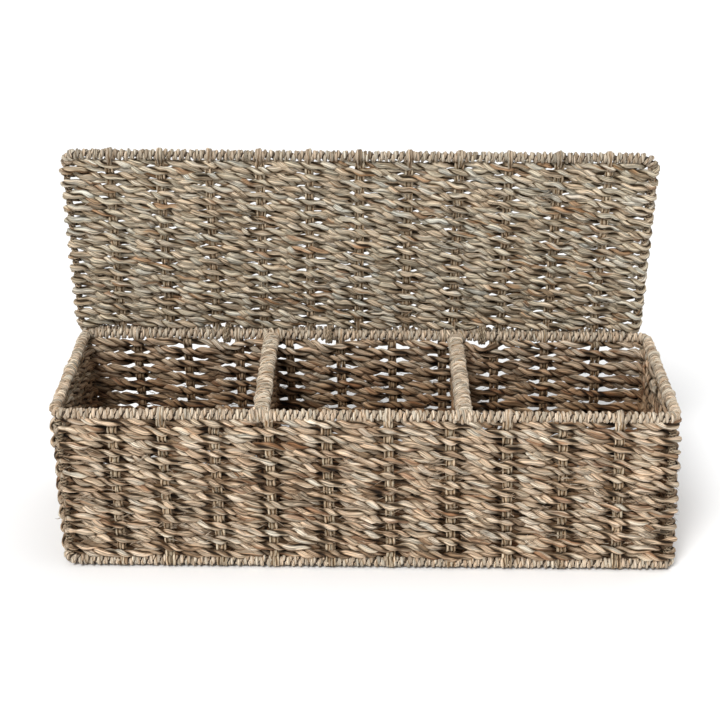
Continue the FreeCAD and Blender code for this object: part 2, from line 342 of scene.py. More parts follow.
class CordTree:
    """The Geometry Nodes tree that lays strands along a route."""

    def __init__(self) -> None:
        """Make the tree."""
        self.tree = bpy.data.node_groups.new("Laid_cord", "GeometryNodeTree")
        self.sockets: dict[str, str] = {}
        self._interface()
        bench = NodeBench(self.tree)
        given = bench.add("NodeGroupInput").outputs
        bench.add("NodeGroupOutput", {"Cord": self._skin(bench, given, self._strands(bench, given))})

    def _interface(self) -> None:
        """The tree's named inputs and its output."""
        face = self.tree.interface
        wanted = {
            "Geometry": ("Route",),
            "Int": ("Strands", "Sides"),
            "Float": ("Strand radius", "Offset", "Section", "Unevenness", "Lumps"),
            "Material": ("Finish",),
        }
        for kind, names in wanted.items():
            for name in names:
                socket = face.new_socket(name, in_out="INPUT", socket_type=f"NodeSocket{kind}")
                self.sockets[name] = socket.identifier
        face.new_socket("Cord", in_out="OUTPUT", socket_type="NodeSocketGeometry")

    @staticmethod
    def _strands(bench: NodeBench, given: bpy.types.NodeOutputs) -> bpy.types.NodeSocket:
        """Resample the route, double it into strands, and swing them round it.

        Args:
            bench: the tree's bench.
            given: the tree's inputs.

        Returns:
            The strands' lines.
        """
        line = bench.add("GeometryNodeMeshToCurve", {0: given["Route"]}).outputs[0]
        line = bench.add(
            "GeometryNodeResampleCurve", {"Curve": line, "Length": given["Section"]}, mode="LENGTH"
        ).outputs[0]
        here = bench.add("GeometryNodeInputPosition").outputs[0]
        line = bench.store(line, "axis", here, VECTOR)
        copies = bench.add(
            "GeometryNodeDuplicateElements", {"Geometry": line, "Amount": given["Strands"]}, domain="SPLINE"
        )
        number = copies.outputs["Duplicate Index"]
        girth, tone, along = (bench.named(name) for name in ("girth", "tone", "along"))
        strand = bench.math("FRACT", bench.plus(tone, bench.times(number, 0.37)))
        line = bench.store(copies.outputs[0], "strand", strand)
        place = bench.plus(bench.times(along, 75.0), bench.times(strand, 900.0))
        uneven = bench.add(
            "ShaderNodeTexNoise", {"W": place, "Scale": 1.0, "Detail": 1.0}, noise_dimensions="1D"
        ).outputs[0]
        swing = bench.times(bench.minus(uneven, 0.5), bench.times(given["Unevenness"], 3.2))
        thick = bench.times(girth, bench.plus(swing, 1.0))
        line = bench.store(line, "thick", bench.times(thick, given["Strand radius"]))
        share = bench.math("DIVIDE", number, given["Strands"])
        turn = bench.times(bench.plus(bench.named("turns"), share), math.tau)
        tangent = bench.add("GeometryNodeInputTangent").outputs[0]
        across = bench.vector("NORMALIZE", bench.vector("CROSS_PRODUCT", tangent, bench.named("side", VECTOR)))
        first = bench.vector("CROSS_PRODUCT", across, tangent)
        reach = bench.times(girth, given["Offset"])
        swung = bench.vector(
            "ADD",
            bench.scaled(first, bench.times(reach, bench.math("COSINE", turn))),
            bench.scaled(across, bench.times(reach, bench.math("SINE", turn))),
        )
        return bench.add("GeometryNodeSetPosition", {"Geometry": line, "Offset": swung}).outputs[0]

    @staticmethod
    def _skin(
        bench: NodeBench, given: bpy.types.NodeOutputs, strands: bpy.types.NodeSocket
    ) -> bpy.types.NodeSocket:
        """Give the strands a lumpy skin, with the values that its finish reads.

        Args:
            bench: the tree's bench.
            given: the tree's inputs.
            strands: the strands' lines.

        Returns:
            The finished mesh.
        """
        here = bench.add("GeometryNodeInputPosition").outputs[0]
        ring = bench.add(
            "GeometryNodeCurvePrimitiveCircle", {"Resolution": given["Sides"], "Radius": 1.0}, mode="RADIUS"
        ).outputs[0]
        profile = bench.store(ring, "ring", here, VECTOR)
        inputs = {"Curve": strands, "Profile Curve": profile, "Scale": bench.named("thick"), "Fill Caps": True}
        skin = bench.add("GeometryNodeCurveToMesh", inputs).outputs[0]
        apart = bench.vector("DISTANCE", here, bench.named("axis", VECTOR))
        full = bench.plus(given["Offset"], given["Strand radius"])
        skin = bench.store(skin, "proud", bench.math("DIVIDE", apart, full))
        far = bench.plus(bench.times(bench.named("along"), 130.0), bench.times(bench.named("strand"), 700.0))
        lump = bench.noise(bench.shifted(bench.named("ring", VECTOR), far), 1.0)
        push = bench.times(bench.minus(lump, 0.5), given["Lumps"])
        outward = bench.add("GeometryNodeInputNormal").outputs[0]
        # How far each point faces the side that a row tucks behind a stake, for the painted shade there.
        hidden = bench.vector("DOT_PRODUCT", outward, bench.named("tuck", VECTOR))
        skin = bench.store(skin, "hidden", bench.math("MAXIMUM", hidden, 0.0))
        for kind, extra in (
            ("GeometryNodeSetPosition", {"Offset": bench.scaled(outward, push)}),
            ("GeometryNodeSetShadeSmooth", {}),
            ("GeometryNodeRealizeInstances", {}),
            ("GeometryNodeSetMaterial", {"Material": given["Finish"]}),
        ):
            skin = bench.add(kind, {"Geometry": skin, **extra}).outputs[0]
        return skin

    def lay(
        self, name: str, routes: list[Route], style: CordStyle, finish: bpy.types.Material
    ) -> bpy.types.Object:
        """Cords along several routes, as one plain mesh.

        Args:
            name: the piece's name.
            routes: the lines that the cords follow.
            style: the cords' make-up.
            finish: their material.

        Returns:
            The finished piece.
        """
        guide = self._guide(name, routes)
        modifier = guide.modifiers.new("Cord", "NODES")
        modifier.node_group = self.tree
        values = {
            "Strands": style.strands,
            "Strand radius": style.strand_radius,
            "Offset": style.offset,
            "Section": style.section,
            "Sides": style.sides,
            "Unevenness": style.unevenness,
            "Lumps": style.lumps,
            "Finish": finish,
        }
        for socket, value in values.items():
            modifier[self.sockets[socket]] = value
        bpy.context.view_layer.update()
        seen = guide.evaluated_get(bpy.context.evaluated_depsgraph_get())
        mesh = bpy.data.meshes.new_from_object(seen)
        bpy.data.objects.remove(guide)
        mesh.name = name
        for spare in ("side", "turns", "tone", "girth", "axis", "thick", "tuck"):
            if spare in mesh.attributes:
                mesh.attributes.remove(mesh.attributes[spare])
        lay_out_strips(mesh, style.sides)
        piece = bpy.data.objects.new(name, mesh)
        bpy.context.scene.collection.objects.link(piece)
        return piece

    @staticmethod
    def _guide(name: str, routes: list[Route]) -> bpy.types.Object:
        """A mesh of bare edges that carries the routes and their values.

        Args:
            name: the piece's name.
            routes: the lines that its cords follow.

        Returns:
            The guide.
        """
        routes = [route.filled() for route in routes]
        sizes = [len(route.points) for route in routes]
        starts = np.cumsum([0] + sizes[:-1])
        edges = [columns(np.arange(n - 1), np.arange(1, n)) + start for n, start in zip(sizes, starts)]
        mesh = bpy.data.meshes.new(f"{name}_guide")
        mesh.from_pydata(np.vstack([route.points for route in routes]), np.concatenate(edges).tolist(), [])
        for label in ("turns", "along", "girth", "tone", "side", "tuck"):
            parts = [getattr(route, label) for route in routes]
            kind, field_name = (VECTOR, "vector") if label in ("side", "tuck") else ("FLOAT", "value")
            if label == "tone":
                parts = [np.full(n, tone) for n, tone in zip(sizes, parts)]
            if label == "side":
                parts = [np.broadcast_to(side, route.points.shape) for side, route in zip(parts, routes)]
            layer = mesh.attributes.new(label, kind, "POINT").data
            layer.foreach_set(field_name, np.concatenate(parts).astype(np.float32).ravel())
        guide = bpy.data.objects.new(f"{name}_guide", mesh)
        bpy.context.scene.collection.objects.link(guide)
        return guide


def lay_out_strips(mesh: bpy.types.Mesh, sides: int) -> None:
    """Give a mesh of strands a UV map of parallel strips, each a stretch of strand opened flat.

    Args:
        mesh: strands, ring after ring of the same number of points.
        sides: how many points a ring has.
    """
    loops = np.empty(len(mesh.loops), dtype=np.int64)
    mesh.loops.foreach_get("vertex_index", loops)
    starts = np.empty(len(mesh.polygons), dtype=np.int64)
    totals = np.empty(len(mesh.polygons), dtype=np.int64)
    mesh.polygons.foreach_get("loop_start", starts)
    mesh.polygons.foreach_get("loop_total", totals)
    owner = np.repeat(np.arange(len(totals)), totals)
    ring, place = loops // sides, loops % sides
    rings = len(mesh.vertices) // sides
    strips = max(2, int(math.sqrt(rings / (sides * 1.1))) + 1)
    length = math.ceil(rings / (strips - 1))
    first = np.minimum.reduceat(ring, starts)[owner]
    low = np.minimum.reduceat(place, starts)[owner]
    high = np.maximum.reduceat(place, starts)[owner]
    column = place + np.where((high - low > 1) & (place == 0), sides, 0)
    row = first // length
    u = (ring - row * length + 0.5) / (length + 2)
    v = (row + 0.06 + 0.88 * column / sides) / strips
    cap = (totals == sides)[owner] & (totals[owner] > 4)
    cap_number = np.cumsum((totals == sides) & (totals > 4))[owner]
    caps = max(1, int(cap_number.max(initial=0)))
    angle = math.tau * place / sides
    size = min(0.35 / caps, 0.35 / strips)
    u = np.where(cap, (cap_number - 0.5) / caps + size * np.cos(angle), u)
    v = np.where(cap, 1 - 0.5 / strips + size * np.sin(angle), v)
    layer = mesh.uv_layers.new(name="OFBake")
    layer.data.foreach_set("uv", np.stack((u, v), axis=1).astype(np.float32).ravel())


@dataclass(frozen=True)
class SeagrassFinish:
    """Dried seagrass, in linear colours."""

    name: str
    pale: tuple[float, float, float]
    middle: tuple[float, float, float]
    dark: tuple[float, float, float]
    rust: tuple[float, float, float] = (0.30, 0.135, 0.055)
    rust_share: float = 0.7
    # painted shade: the share of brightness left deepest in the grooves between strands
    groove_shade: float = 0.07

    def build(self, group: bpy.types.NodeTree) -> bpy.types.Material:
        """Make the material.

        Args:
            group: the shared seagrass group.

        Returns:
            The material.
        """
        material = bpy.data.materials.new(self.name)
        material.use_nodes = True
        bench = NodeBench(material.node_tree)
        tones = {"Pale": self.pale, "Middle": self.middle, "Dark": self.dark, "Rust": self.rust}
        inputs = {name: (*colour, 1.0) for name, colour in tones.items()}
        inputs |= {"Rust share": self.rust_share, "Groove shade": self.groove_shade}
        grass = bench.add("ShaderNodeGroup", inputs, node_tree=group).outputs
        bench.surface(grass["Colour"], grass["Roughness"], grass["Height"], 0.9, 0.0012)
        material.node_tree.nodes["Principled BSDF"].inputs["Specular IOR Level"].default_value = 0.28
        return material


def seagrass_group() -> bpy.types.NodeTree:
    """The shared node group: fibres, blotches and rust of a seagrass strand, with painted shade in the grooves
    between strands, inside the box, and where a row tucks behind a stake.

    Returns:
        The group.
    """
    tree = bpy.data.node_groups.new("Seagrass", "ShaderNodeTree")
    for way, kind, names in (
        ("INPUT", "Color", ("Pale", "Middle", "Dark", "Rust")),
        ("INPUT", "Float", ("Rust share", "Groove shade")),
        ("OUTPUT", "Color", ("Colour",)),
        ("OUTPUT", "Float", ("Roughness", "Height")),
    ):
        for name in names:
            tree.interface.new_socket(name, in_out=way, socket_type=f"NodeSocket{kind}")
    bench = NodeBench(tree)
    given = bench.add("NodeGroupInput").outputs
    along, strand, proud, hollow_shade, hidden = (
        bench.attribute(name).outputs["Fac"] for name in ("along", "strand", "proud", "hollow_shade", "hidden")
    )
    ring = bench.attribute("ring").outputs["Vector"]

    def stretched(round_scale: float, along_scale: float, spread: float) -> bpy.types.NodeSocket:
        """A place on the strand's skin, at its own scale round the strand and along it."""
        far = bench.plus(bench.times(along, along_scale), bench.times(strand, spread))
        return bench.shifted(bench.scaled(ring, round_scale), far)

    def tinted(colour: object, share: object, tint: object) -> bpy.types.NodeSocket:
        """A colour multiplied by a tint, as far as its share says."""
        return bench.blend(share, colour, tint, "MULTIPLY")

    fibres = bench.noise(stretched(2.6, 42.0, 310.0), 4.0, 0.72)
    blotch = bench.noise(stretched(0.9, 60.0, 911.0), 3.0, 0.6)
    reach = bench.noise(stretched(0.25, 17.0, 517.0), 1.0)
    rusty = bench.noise(stretched(0.35, 22.0, 173.0), 1.0)
    blades = bench.noise(stretched(1.5, 34.0, 433.0), 1.0)
    hue = bench.noise(stretched(0.3, 31.0, 291.0), 1.0)
    shade = bench.plus(bench.times(bench.minus(blotch, 0.5), 1.3), bench.times(bench.minus(reach, 0.5), 1.9))
    shade = bench.plus(shade, bench.times(bench.minus(strand, 0.5), 0.30))
    colour = bench.blend(bench.ramp(shade, -0.05, 0.45), given["Middle"], given["Pale"])
    colour = bench.blend(bench.ramp(shade, -0.05, -0.5), colour, given["Dark"])
    stain = bench.times(bench.ramp(rusty, 0.62, 0.68), given["Rust share"])
    colour = bench.blend(stain, colour, given["Rust"])
    crease = bench.ramp(bench.math("ABSOLUTE", bench.minus(blades, 0.5)), 0.0, 0.045, 0.5, 1.0)
    streak = bench.times(bench.ramp(fibres, 0.36, 0.64, 0.50, 1.40), crease)
    # Painted shade: each strand darkens from its crest down into the grooves between strands, to the groove
    # shade share.
    lit = bench.minus(1.0, bench.ramp(proud, 0.80, 0.42))
    depth = bench.plus(given["Groove shade"], bench.times(lit, bench.minus(1.0, given["Groove shade"])))
    level = bench.times(streak, depth)
    grey = bench.add("ShaderNodeCombineColor", {0: level, 1: level, 2: level}).outputs[0]
    colour = tinted(colour, 1.0, grey)
    cast = bench.blend(bench.ramp(hue, 0.36, 0.64), (1.0, 0.94, 0.87, 1.0), (0.95, 0.98, 0.96, 1.0))
    colour = tinted(colour, 1.0, cast)
    # Painted shade: a warm brown tint deepens the grooves between strands.
    colour = tinted(colour, bench.ramp(proud, 0.8, 0.4), (0.92, 0.70, 0.46, 1.0))
    # Painted shade: darker and browner inside the box, the more so below its rim.
    colour = tinted(colour, hollow_shade, (0.50, 0.385, 0.28, 1.0))
    # Painted shade: darker on the side of a row that is tucked behind a stake.
    colour = tinted(colour, bench.ramp(hidden, 0.05, 0.85, 0.0, 0.85), (0.30, 0.235, 0.17, 1.0))
    rough = bench.ramp(fibres, 0.2, 0.8, 0.68, 0.9)
    height = bench.plus(bench.times(fibres, 0.6), bench.times(crease, 1.1))
    bench.add("NodeGroupOutput", {"Colour": colour, "Roughness": rough, "Height": height})
    return tree


@dataclass(frozen=True)
class WireFinish:
    """Brown-coated steel wire."""

    name: str = "Coated_wire"
    light: tuple[float, float, float] = (0.085, 0.055, 0.033)
    dark: tuple[float, float, float] = (0.03, 0.02, 0.013)

    def build(self) -> bpy.types.Material:
        """Make the material.

        Returns:
            The material.
        """
        material = bpy.data.materials.new(self.name)
        material.use_nodes = True
        bench = NodeBench(material.node_tree)
        place = bench.add("ShaderNodeTexCoord").outputs["Object"]
        spread = bench.add("ShaderNodeMapping", {0: place, "Scale": (300.0, 300.0, 300.0)}).outputs[0]
        specks = bench.noise(spread, 4.0, 0.65)
        colour = bench.blend(bench.ramp(specks, 0.35, 0.65), (*self.dark, 1.0), (*self.light, 1.0))
        bench.surface(colour, bench.ramp(specks, 0.3, 0.7, 0.7, 0.9), specks, 0.4, 0.0003)
        return material


class Finish(Enum):
    """Every finish of the basket."""

    BOX_ROPE = SeagrassFinish(
        "Seagrass_box_rope", (0.80, 0.70, 0.58), (0.69, 0.53, 0.385), (0.25, 0.165, 0.10)
    )
    LID_ROPE = SeagrassFinish(
        "Seagrass_lid_rope", (0.72, 0.675, 0.59), (0.69, 0.58, 0.44), (0.31, 0.23, 0.15),
        rust=(0.40, 0.20, 0.08),
    )
    BINDING = SeagrassFinish(
        "Seagrass_binding", (0.84, 0.735, 0.61), (0.79, 0.655, 0.515), (0.55, 0.435, 0.32), rust_share=0.2,
        groove_shade=0.55,
    )
    LID_BINDING = SeagrassFinish(
        "Seagrass_lid_binding", (0.74, 0.65, 0.54), (0.60, 0.50, 0.39), (0.38, 0.30, 0.215), rust_share=0.2,
        groove_shade=0.35,
    )
    STAKE = SeagrassFinish(
        "Seagrass_stake", (0.84, 0.70, 0.53), (0.62, 0.49, 0.35), (0.35, 0.26, 0.17), rust_share=0.2, groove_shade=0.3
    )
    WIRE = WireFinish()

    @classmethod
    def made(cls) -> dict["Finish", bpy.types.Material]:
        """Each finish's material, those of seagrass round one shared group.

        Returns:
            The materials by finish.
        """
        group = seagrass_group()
        shared = {cls.WIRE: ()}
        return {finish: finish.value.build(*shared.get(finish, (group,))) for finish in cls}


class Kind(Enum):
    """The kinds of piece: its cord's make-up, its finish, the body that it rides on, and its slot."""

    BOX_ROPE = (ROPE, Finish.BOX_ROPE, Body.BOX, Slot.ROPE)
    BOX_FIBRE = (FIBRE, Finish.BOX_ROPE, Body.BOX, Slot.ROPE)
    BOX_BINDING = (BINDING_CORD, Finish.BINDING, Body.BOX, Slot.CORD)
    BOX_STAKE = (STAKE_CORD, Finish.STAKE, Body.BOX, Slot.CORD)
    BOX_WRAPPING = (TIE_CORD, Finish.STAKE, Body.BOX, Slot.CORD)
    BOX_WIRE = (BARE_WIRE, Finish.WIRE, Body.BOX, Slot.WIRE)
    LID_ROPE = (ROPE, Finish.LID_ROPE, Body.LID, Slot.ROPE)
    LID_FIBRE = (FIBRE, Finish.LID_ROPE, Body.LID, Slot.ROPE)
    LID_BINDING = (BINDING_CORD, Finish.LID_BINDING, Body.LID, Slot.CORD)
    LID_STAKE = (STAKE_CORD, Finish.STAKE, Body.LID, Slot.CORD)
    LID_WRAPPING = (TIE_CORD, Finish.STAKE, Body.LID, Slot.CORD)


@dataclass(frozen=True)
class BoxFrame:
    """Where the box's wires lie, read from the CAD frame."""

    half_width: float
    half_depth: float
    rim_z: float
    base_z: float
    wire_radius: float
    corner: float = 8 * MM
    base_lift: float = 1.2 * MM
    lean_x: float = 4 * MM
    lean_y: float = 2 * MM

    @classmethod
    def from_frame(cls) -> "BoxFrame":
        """Read from the boxes of the two frame wires.

        Returns:
            The box's frame.
        """
        low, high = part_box("rim_frame_wire")
        radius = (high[2] - low[2]) / 2
        base_low, base_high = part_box("base_frame_wire")
        return cls(
            half_width=high[0] - radius,
            half_depth=high[1] - radius,
            rim_z=(low[2] + high[2]) / 2,
            base_z=(base_low[2] + base_high[2]) / 2,
            wire_radius=radius,
        )

    def leaned(self, points: np.ndarray) -> np.ndarray:
        """The points, moved as the hand-woven box leans towards its foot."""
        share = np.clip(1 - points[:, 2] / self.rim_z, 0, 1)[:, None]
        return points + share * np.array((self.lean_x, self.lean_y, 0.0))


@dataclass
class RoundedLoop:
    """A rectangle with rounded corners, as a line that starts at the middle of the front left corner."""

    half_width: float
    half_depth: float
    corner: float
    length: float = field(init=False)
    _table: tuple[np.ndarray, ...] = field(init=False, repr=False)

    def __post_init__(self) -> None:
        """Work out the line once, closely enough to read places from."""
        half_arc = math.pi / 4 * self.corner
        wide = 2 * (self.half_width - self.corner)
        deep = 2 * (self.half_depth - self.corner)
        runs = [half_arc, wide, 2 * half_arc, deep, 2 * half_arc, wide, 2 * half_arc, deep, half_arc]
        knots = np.concatenate(([0.0], np.cumsum(runs)))
        headings = np.radians([-45, 0, 0, 90, 90, 180, 180, 270, 270, 315])
        self.length = float(knots[-1])
        s = np.linspace(0, self.length, 16001)
        middle = np.interp((s[1:] + s[:-1]) / 2, knots, headings)
        step = s[1] - s[0]
        inset = self.corner * (1 - math.sqrt(0.5))
        x = np.concatenate(([0.0], np.cumsum(np.cos(middle) * step))) - self.half_width + inset
        y = np.concatenate(([0.0], np.cumsum(np.sin(middle) * step))) - self.half_depth + inset
        self._table = (s, x, y, np.interp(s, knots, headings))

    @property
    def half_arc(self) -> float:
        """Half of a corner's length."""
        return math.pi / 4 * self.corner

    def at(self, s: np.ndarray) -> tuple[np.ndarray, np.ndarray, np.ndarray, np.ndarray]:
        """Places and outward directions along the line.

        Args:
            s: distances along it, which may run past its start or end.

        Returns:
            x, y, and the outward direction's x and y.
        """
        grid, xs, ys, headings = self._table
        wrapped = np.mod(s, self.length)
        heading = np.interp(wrapped, grid, headings)
        return np.interp(wrapped, grid, xs), np.interp(wrapped, grid, ys), np.sin(heading), -np.cos(heading)

    def front(self, x: float) -> float:
        """The distance along the line of a place on the front side."""
        return self.half_arc + x + self.half_width - self.corner

    def right(self, y: float) -> float:
        """The distance along the line of a place on the right side."""
        return self.front(self.half_width - self.corner) + 2 * self.half_arc + y + self.half_depth - self.corner

    def back(self, x: float) -> float:
        """The distance along the line of a place on the back side."""
        return self.length / 2 + self.front(-x)

    def left(self, y: float) -> float:
        """The distance along the line of a place on the left side."""
        return self.length / 2 + self.right(-y)


@dataclass
class Maker:
    """What every sub-assembly needs to make its pieces."""

    cords: CordTree
    materials: dict[Finish, bpy.types.Material]
    box: BoxFrame
    made: list[bpy.types.Object] = field(default_factory=list)

    def piece(self, name: str, routes: list[Route], kind: Kind, *nodes: str) -> None:
        """Lay a piece, give it its body, and hide the CAD nodes that it stands for.

        Args:
            name: the piece's name.
            routes: the lines that its cords follow.
            kind: what it is made of and where it belongs.
            nodes: the CAD nodes that it stands for.
        """
        style, finish, body, slot = kind.value
        made = self.cords.lay(name, routes, style, self.materials[finish])
        if body is Body.BOX:
            self._paint_hollow_shade(made.data)
        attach(made, body.value)
        if nodes:
            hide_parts(*nodes)
        self.made.append(made)
        triangles = sum(len(face.vertices) - 2 for face in made.data.polygons)
        LOG.info("%s: %d cords, %d triangles", name, len(routes), triangles)

    def _paint_hollow_shade(self, mesh: bpy.types.Mesh) -> None:
        """Store how far inside the box and below its rim each point is, for the painted shade that darkens and
        browns the grass there.

        Args:
            mesh: the piece's mesh, at rest.
        """
        places = np.empty(len(mesh.vertices) * 3, dtype=np.float32)
        mesh.vertices.foreach_get("co", places)
        places = places.reshape(-1, 3)
        places = 2 * places - self.box.leaned(places)
        half = np.array((self.box.half_width, self.box.half_depth))
        inset = (half - np.abs(places[:, :2])).min(axis=1)
        inside = np.clip((inset + 0.5 * MM) / (4 * MM), 0, 1)
        depth = np.clip((self.box.rim_z - places[:, 2]) / (65 * MM), 0, 1)
        # Share of painted shade: inside the box, growing with depth below the rim.
        mesh.attributes.new("hollow_shade", "FLOAT", "POINT").data.foreach_set(
            "value", (inside * depth * (2 - depth)).astype(np.float32)
        )


@dataclass
class BoxWalls:
    """The four woven walls: rope rows in and out of cord stakes, right round the box."""

    maker: Maker
    rows: int = 19
    weave_reach: float = 2.6 * MM
    stake_reach: float = 2.7 * MM
    foot: float = 9.0 * MM
    crown: float = 121.4 * MM
    wall_stakes: int = 10
    wall_pitch: float = 40.9 * MM
    end_pitch: float = 38.0 * MM
    cut: float = 58.0 * MM
    foot_reach: float = 3.35 * MM
    loop_reach: float = 4.0 * MM
    post_push: float = 2.3 * MM
    top_lift: float = 0.9 * MM
    top_inset: float = 2.2 * MM
    tie_dips: tuple[tuple[float, float], ...] = (
        (-3.6 * MM, 5.2 * MM),
        (-0.2 * MM, 3.2 * MM),
        (-0.3 * MM, 1.6 * MM),
    )
    loop: RoundedLoop = field(init=False)

    def __post_init__(self) -> None:
        """Lay out the stakes round the box."""
        box = self.maker.box
        self.loop = RoundedLoop(box.half_width, box.half_depth, box.corner)
        front = [self.loop.front(x) for x in self._front_places()]
        back = [self.loop.back(-x) for x in self._spread(self.wall_stakes, self.wall_pitch)]
        right = [self.loop.right(y) for y in self._spread(3, self.end_pitch)]
        left = [self.loop.left(-y) for y in self._spread(3, self.end_pitch)]
        corner = self.loop.right(-box.half_depth + box.corner) - self.loop.half_arc
        self.knots = np.array([0.0, *front, corner, *right, *back, *left, self.loop.length])
        self.counts = np.arange(len(self.knots), dtype=float)
        self.ties = [self.loop.back(centre(f"hinge_tie_{n}")[0]) for n in (1, 2, 3)]
        far = self.loop.back(-box.half_width + box.corner) + self.loop.half_arc
        self.back_corners = (self.loop.length / 2, far)

    @staticmethod
    def _spread(count: int, pitch: float) -> list[float]:
        """Evenly spaced places about zero."""
        return [(i - (count - 1) / 2) * pitch for i in range(count)]

    def _front_places(self) -> list[float]:
        """The front stakes, a little uneven as they are by hand."""
        even = self._spread(self.wall_stakes, self.wall_pitch)
        return [x - 9.0 * MM * math.sin(math.pi * min(n, 6) / 6) for n, x in enumerate(even)]

    @property
    def pitch(self) -> float:
        """From row to row."""
        return (self.crown - self.foot) / self.rows

    def row_height(self, row: int) -> float:
        """The middle of a row."""
        return self.foot + (row + 0.5) * self.pitch

    def _row(self, row: int, start: float, stop: float) -> Route:
        """One row.

        Args:
            row: its number, from the foot.
            start: where it starts, as a distance round the box.
            stop: where it ends.

        Returns:
            The route.
        """
        s = np.linspace(start, stop, max(3, int((stop - start) / ROPE.section)))
        total = self.loop.length
        wrapped = np.mod(s, total)
        x, y, out_x, out_y = self.loop.at(s)
        swing = -np.cos(np.pi * (np.interp(wrapped, self.knots, self.counts) + row))
        tuck = -columns(out_x, out_y, 0.0) * (swing * np.abs(swing))[:, None]
        out = self.weave_reach * swing + 0.35 * MM * waver(wrapped, total, row + 60.3, (13, 23, 37, 58))
        for corner in self.back_corners:
            out = out + (-1) ** row * self.post_push * nearness(wrapped, corner, 9 * MM)
        level = self.row_height(row) + 0.50 * MM * waver(wrapped, total, 5.0, (5, 11, 18, 26))
        level = level + 0.34 * MM * waver(wrapped, total, row + 0.3, (9, 17, 31, 45))
        under_rim = self.rows - 1 - row
        level = level + self.top_lift * (under_rim == 0)
        if under_rim < len(self.tie_dips):
            low, high = self.back_corners
            behind = np.clip(np.minimum(wrapped - low, high - wrapped) / (25 * MM), 0, 1)
            out = out - self.top_inset * behind * (under_rim < 2)
            dip_out, dip = self.tie_dips[under_rim]
            for tie in self.ties:
                near = nearness(wrapped, tie, 10 * MM)
                out = out * (1 - near) + near * dip_out
                level = level - near * dip
        rounds = round(total * 1.02 / ROPE.lay)
        turns = wrapped / total * rounds + row * GOLDEN
        turns = turns + 0.16 * waver(wrapped, total, row + 9.1, (9, 19, 33, 47))
        points = self.maker.box.leaned(columns(x + out_x * out, y + out_y * out, level))
        tone = fraction(row * 0.618034 + 0.11)
        return Route(points, UP, turns, tone, wrapped + row * 2.0, pinched(wrapped, self.knots, row), tuck)

    def _across(self, s: float, path: np.ndarray, aside: float) -> tuple[np.ndarray, np.ndarray]:
        """Carry a path to a place round the box.

        Args:
            s: the place, as a distance round the box.
            path: outward distances and heights.
            aside: how far along the wall it is moved.

        Returns:
            Its points, and the direction along the wall.
        """
        x, y, out_x, out_y = (float(value) for value in self.loop.at(np.array(s)))
        along = np.array((-out_y, out_x, 0.0))
        flat = np.array((x, y)) + aside * along[:2] + path[:, :1] * np.array((out_x, out_y))
        return self.maker.box.leaned(np.column_stack((flat, path[:, 1]))), along

    def _stake(self, s: float, count: float, seed: float) -> list[Route]:
        """The two cords of one stake, up from under the base rim to the top rim.

        Args:
            s: the stake's place round the box.
            count: its number, which says on which side of it the first row passes.
            seed: sets it apart from the others.

        Returns:
            The two routes.
        """
        box = self.maker.box
        base = box.base_z + box.base_lift
        foot = self.foot_reach
        knots = [(-foot * 0.8, base + 5 * MM)]
        knots += arc((0.0, base), (foot, foot), (180, 225, 270, 315, 360))
        knots.append((foot * 0.75, base + 3.4 * MM))
        bottom = self.row_height(0) - 0.35 * self.pitch
        for level in np.arange(bottom, box.rim_z - 2 * MM, self.pitch / 4):
            row = (level - self.row_height(0)) / self.pitch
            knots.append((self.stake_reach * math.cos(math.pi * (count + row)), float(level)))
        path = softened(knots)
        routes = []
        for hand in (-1, 1):
            gap = CORD_GAP * (1 + 0.25 * math.sin(seed * 3.7 + hand))
            points, aside = self._across(s, path, hand * gap)
            turns = 0.09 * waver(travel(points), 0.15, seed + hand)
            routes.append(Route(points, aside, turns, fraction(GOLDEN * seed + 0.3 * hand + 9)))
        return routes

    def _rim_loop(self, s: float, seed: float) -> Route:
        """One cord from a stake's head, up inside the rim, over it and down in front of the top row.

        Args:
            s: the stake's place round the box.
            seed: sets it apart from the others.

        Returns:
            The route.
        """
        box = self.maker.box
        top = self.row_height(self.rows - 1)
        knots = [(-2.0 * MM, box.rim_z - 9 * MM)]
        knots += arc((0.0, box.rim_z), (self.loop_reach, self.loop_reach), (190, 150, 110, 70, 30, -5))
        knots += [(3.4 * MM, top + 2.2 * MM), (2.6 * MM, top - 0.5 * MM), (0.6 * MM, top - 3.6 * MM)]
        knots.append((-2.0 * MM, self.row_height(self.rows - 2) - 1.0 * MM))
        points, aside = self._across(s, softened(knots), 0.8 * MM * math.sin(seed * 2.3))
        girth = 0.82 + 0.34 * nearness(np.linspace(0, 1, len(points)), 0.42, 0.22)
        turns = 0.07 * waver(travel(points), 0.05, seed)
        return Route(points, aside, turns, fraction(0.41 * seed), girth=girth)

    def build(self) -> None:
        """Make the rope and the stakes of each wall."""
        spans = {
            "front_wall": (self.loop.left(-self.cut) - self.loop.length, self.loop.right(-self.cut)),
            "right_end": (self.loop.right(-self.cut), self.loop.right(self.cut)),
            "back_wall": (self.loop.right(self.cut), self.loop.left(self.cut)),
            "left_end": (self.loop.left(self.cut), self.loop.left(-self.cut)),
        }
        posts = (0.0, float(self.knots[self.wall_stakes + 1]), self.loop.length)
        for side, (start, stop) in spans.items():
            rows = [self._row(row, start, stop) for row in range(self.rows)]
            self.maker.piece(f"{side}_rope", rows, Kind.BOX_ROPE, f"{side}_weave")
            cords, loops = [], []
            for number, (s, count) in enumerate(zip(self.knots, self.counts)):
                if not start < s < stop or min(abs(s - post) for post in posts) < 1 * MM:
                    continue
                cords += self._stake(float(s), count, number + 0.7)
                if int(count) % 2 == 0:
                    loops.append(self._rim_loop(float(s), number + 0.7))
            self.maker.piece(f"{side}_rim_loops", loops, Kind.BOX_BINDING)
            self.maker.piece(f"{side}_stake_cords", cords, Kind.BOX_STAKE, f"{side}_stakes")


def centre(node: str) -> np.ndarray:
    """The middle of a CAD node's box."""
    low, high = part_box(node)
    return (np.array(low) + np.array(high)) / 2


